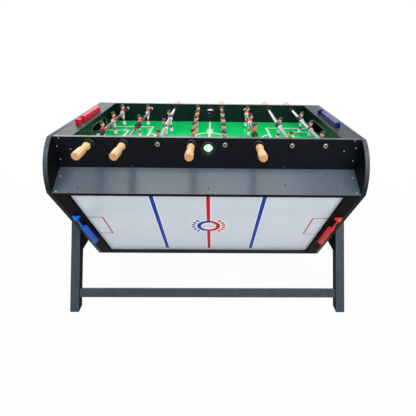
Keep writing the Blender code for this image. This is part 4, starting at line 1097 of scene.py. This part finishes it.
# Shares of the plain white that camera, glossy and transmission rays see, near the table
# and far off, and the distances in metres between which it grows
floorFade = {"nearShare": 0.96, "farShare": 1.0, "near": 0.8, "far": 2.4, "size": 30.0}
floorLook = newMaterial("floor", None, (0.64, 0.64, 0.64), (0.66, 0.66, 0.66), (0.8, 0.8),
                        {"scale": 2, "specular": 0.0, "bump": 0.0})
floorTree = floorLook.node_tree
distance = addNode(floorTree, "VectorMath", {
    0: floorTree.nodes["Texture Coordinate"].outputs["Object"]}, operation="LENGTH")
fade = addNode(floorTree, "MapRange", {
    "Value": distance.outputs["Value"], "From Min": floorFade["near"],
    "From Max": floorFade["far"], "To Min": floorFade["nearShare"],
    "To Max": floorFade["farShare"]})
share = addNode(floorTree, "Math", {
    0: seenDirectly(floorTree), 1: fade.outputs["Result"]}, operation="MULTIPLY")
blend = addNode(floorTree, "MixShader", {
    "Fac": share.outputs["Value"],
    1: floorTree.nodes["Principled BSDF"].outputs["BSDF"],
    2: addNode(floorTree, "Emission", {}).outputs["Emission"]})
feed(floorTree, floorTree.nodes["Material Output"], {"Surface": blend.outputs["Shader"]})
stagePlane("floor", floorFade["size"], floorLook)

# The world is plain white to the same rays and dimmer as a light
world = bpy.data.worlds.new("studio")
bpy.context.scene.world = world
world.use_nodes = True
strength = addNode(world.node_tree, "MapRange", {
    "Value": seenDirectly(world.node_tree), "To Min": 0.60, "To Max": 1.0})
feed(world.node_tree, world.node_tree.nodes["Background"], {
    "Color": (1, 1, 1, 1), "Strength": strength.outputs["Result"]})


# A light with its settings, aimed along a direction
def addLight(name, kind, power, place, direction, **settings):
    data = bpy.data.lights.new(name, kind)
    data.energy = power
    for key, value in settings.items():
        setattr(data, key, value)
    light = bpy.data.objects.new(name, data)
    light.location = place
    light.rotation_euler = Vector(direction).to_track_quat("-Z", "Y").to_euler()
    bpy.context.scene.collection.objects.link(light)


addLight("sky", "SUN", 0.50, (0, 0, 0), (0.35, 0.30, -1.0), angle=math.radians(35))
# Soft lights: name, power in watts, place, target, width and depth
areaRows = (
    ("backSoft", 38, (-1.3, 3.2, 2.3), (0, 0, 0.8), (3.6, 1.2)),
    ("overhead", 15, (0, -0.40, 2.7), (0, -0.36, 0.75), (1.9, 0.9)),
    ("frontFill", 52, (1.2, -2.6, 2.6), (0, 0, 0.8), (2.2, 1.4)),
)
for name, power, place, target, (width, depth) in areaRows:
    addLight(name, "AREA", power, place, Vector(target) - Vector(place),
             shape="RECTANGLE", size=width, size_y=depth)

# Camera: place in metres and angles in degrees
view = {"lens": 26.22, "sensor": 36, "shift": -0.0256, "place": (0.0209, -1.4414, 1.2391),
        "pitch": -30.492, "yaw": 1.202, "roll": 1.014}
cameraData = bpy.data.cameras.new("camera")
cameraData.lens = view["lens"]
cameraData.sensor_width = view["sensor"]
cameraData.shift_x = view["shift"]
camera = bpy.data.objects.new("camera", cameraData)
camera.location = view["place"]
pitch, yaw, roll = (math.radians(view[name]) for name in ("pitch", "yaw", "roll"))
forward = Vector((math.sin(yaw) * math.cos(pitch), math.cos(yaw) * math.cos(pitch),
                  math.sin(pitch)))
upright = forward.to_track_quat("-Z", "Y")
camera.rotation_euler = (upright @ Quaternion((0, 0, 1), roll)).to_euler()
bpy.context.scene.collection.objects.link(camera)
bpy.context.scene.camera = camera
bpy.context.scene.view_settings.view_transform = "Standard"
print("stage")
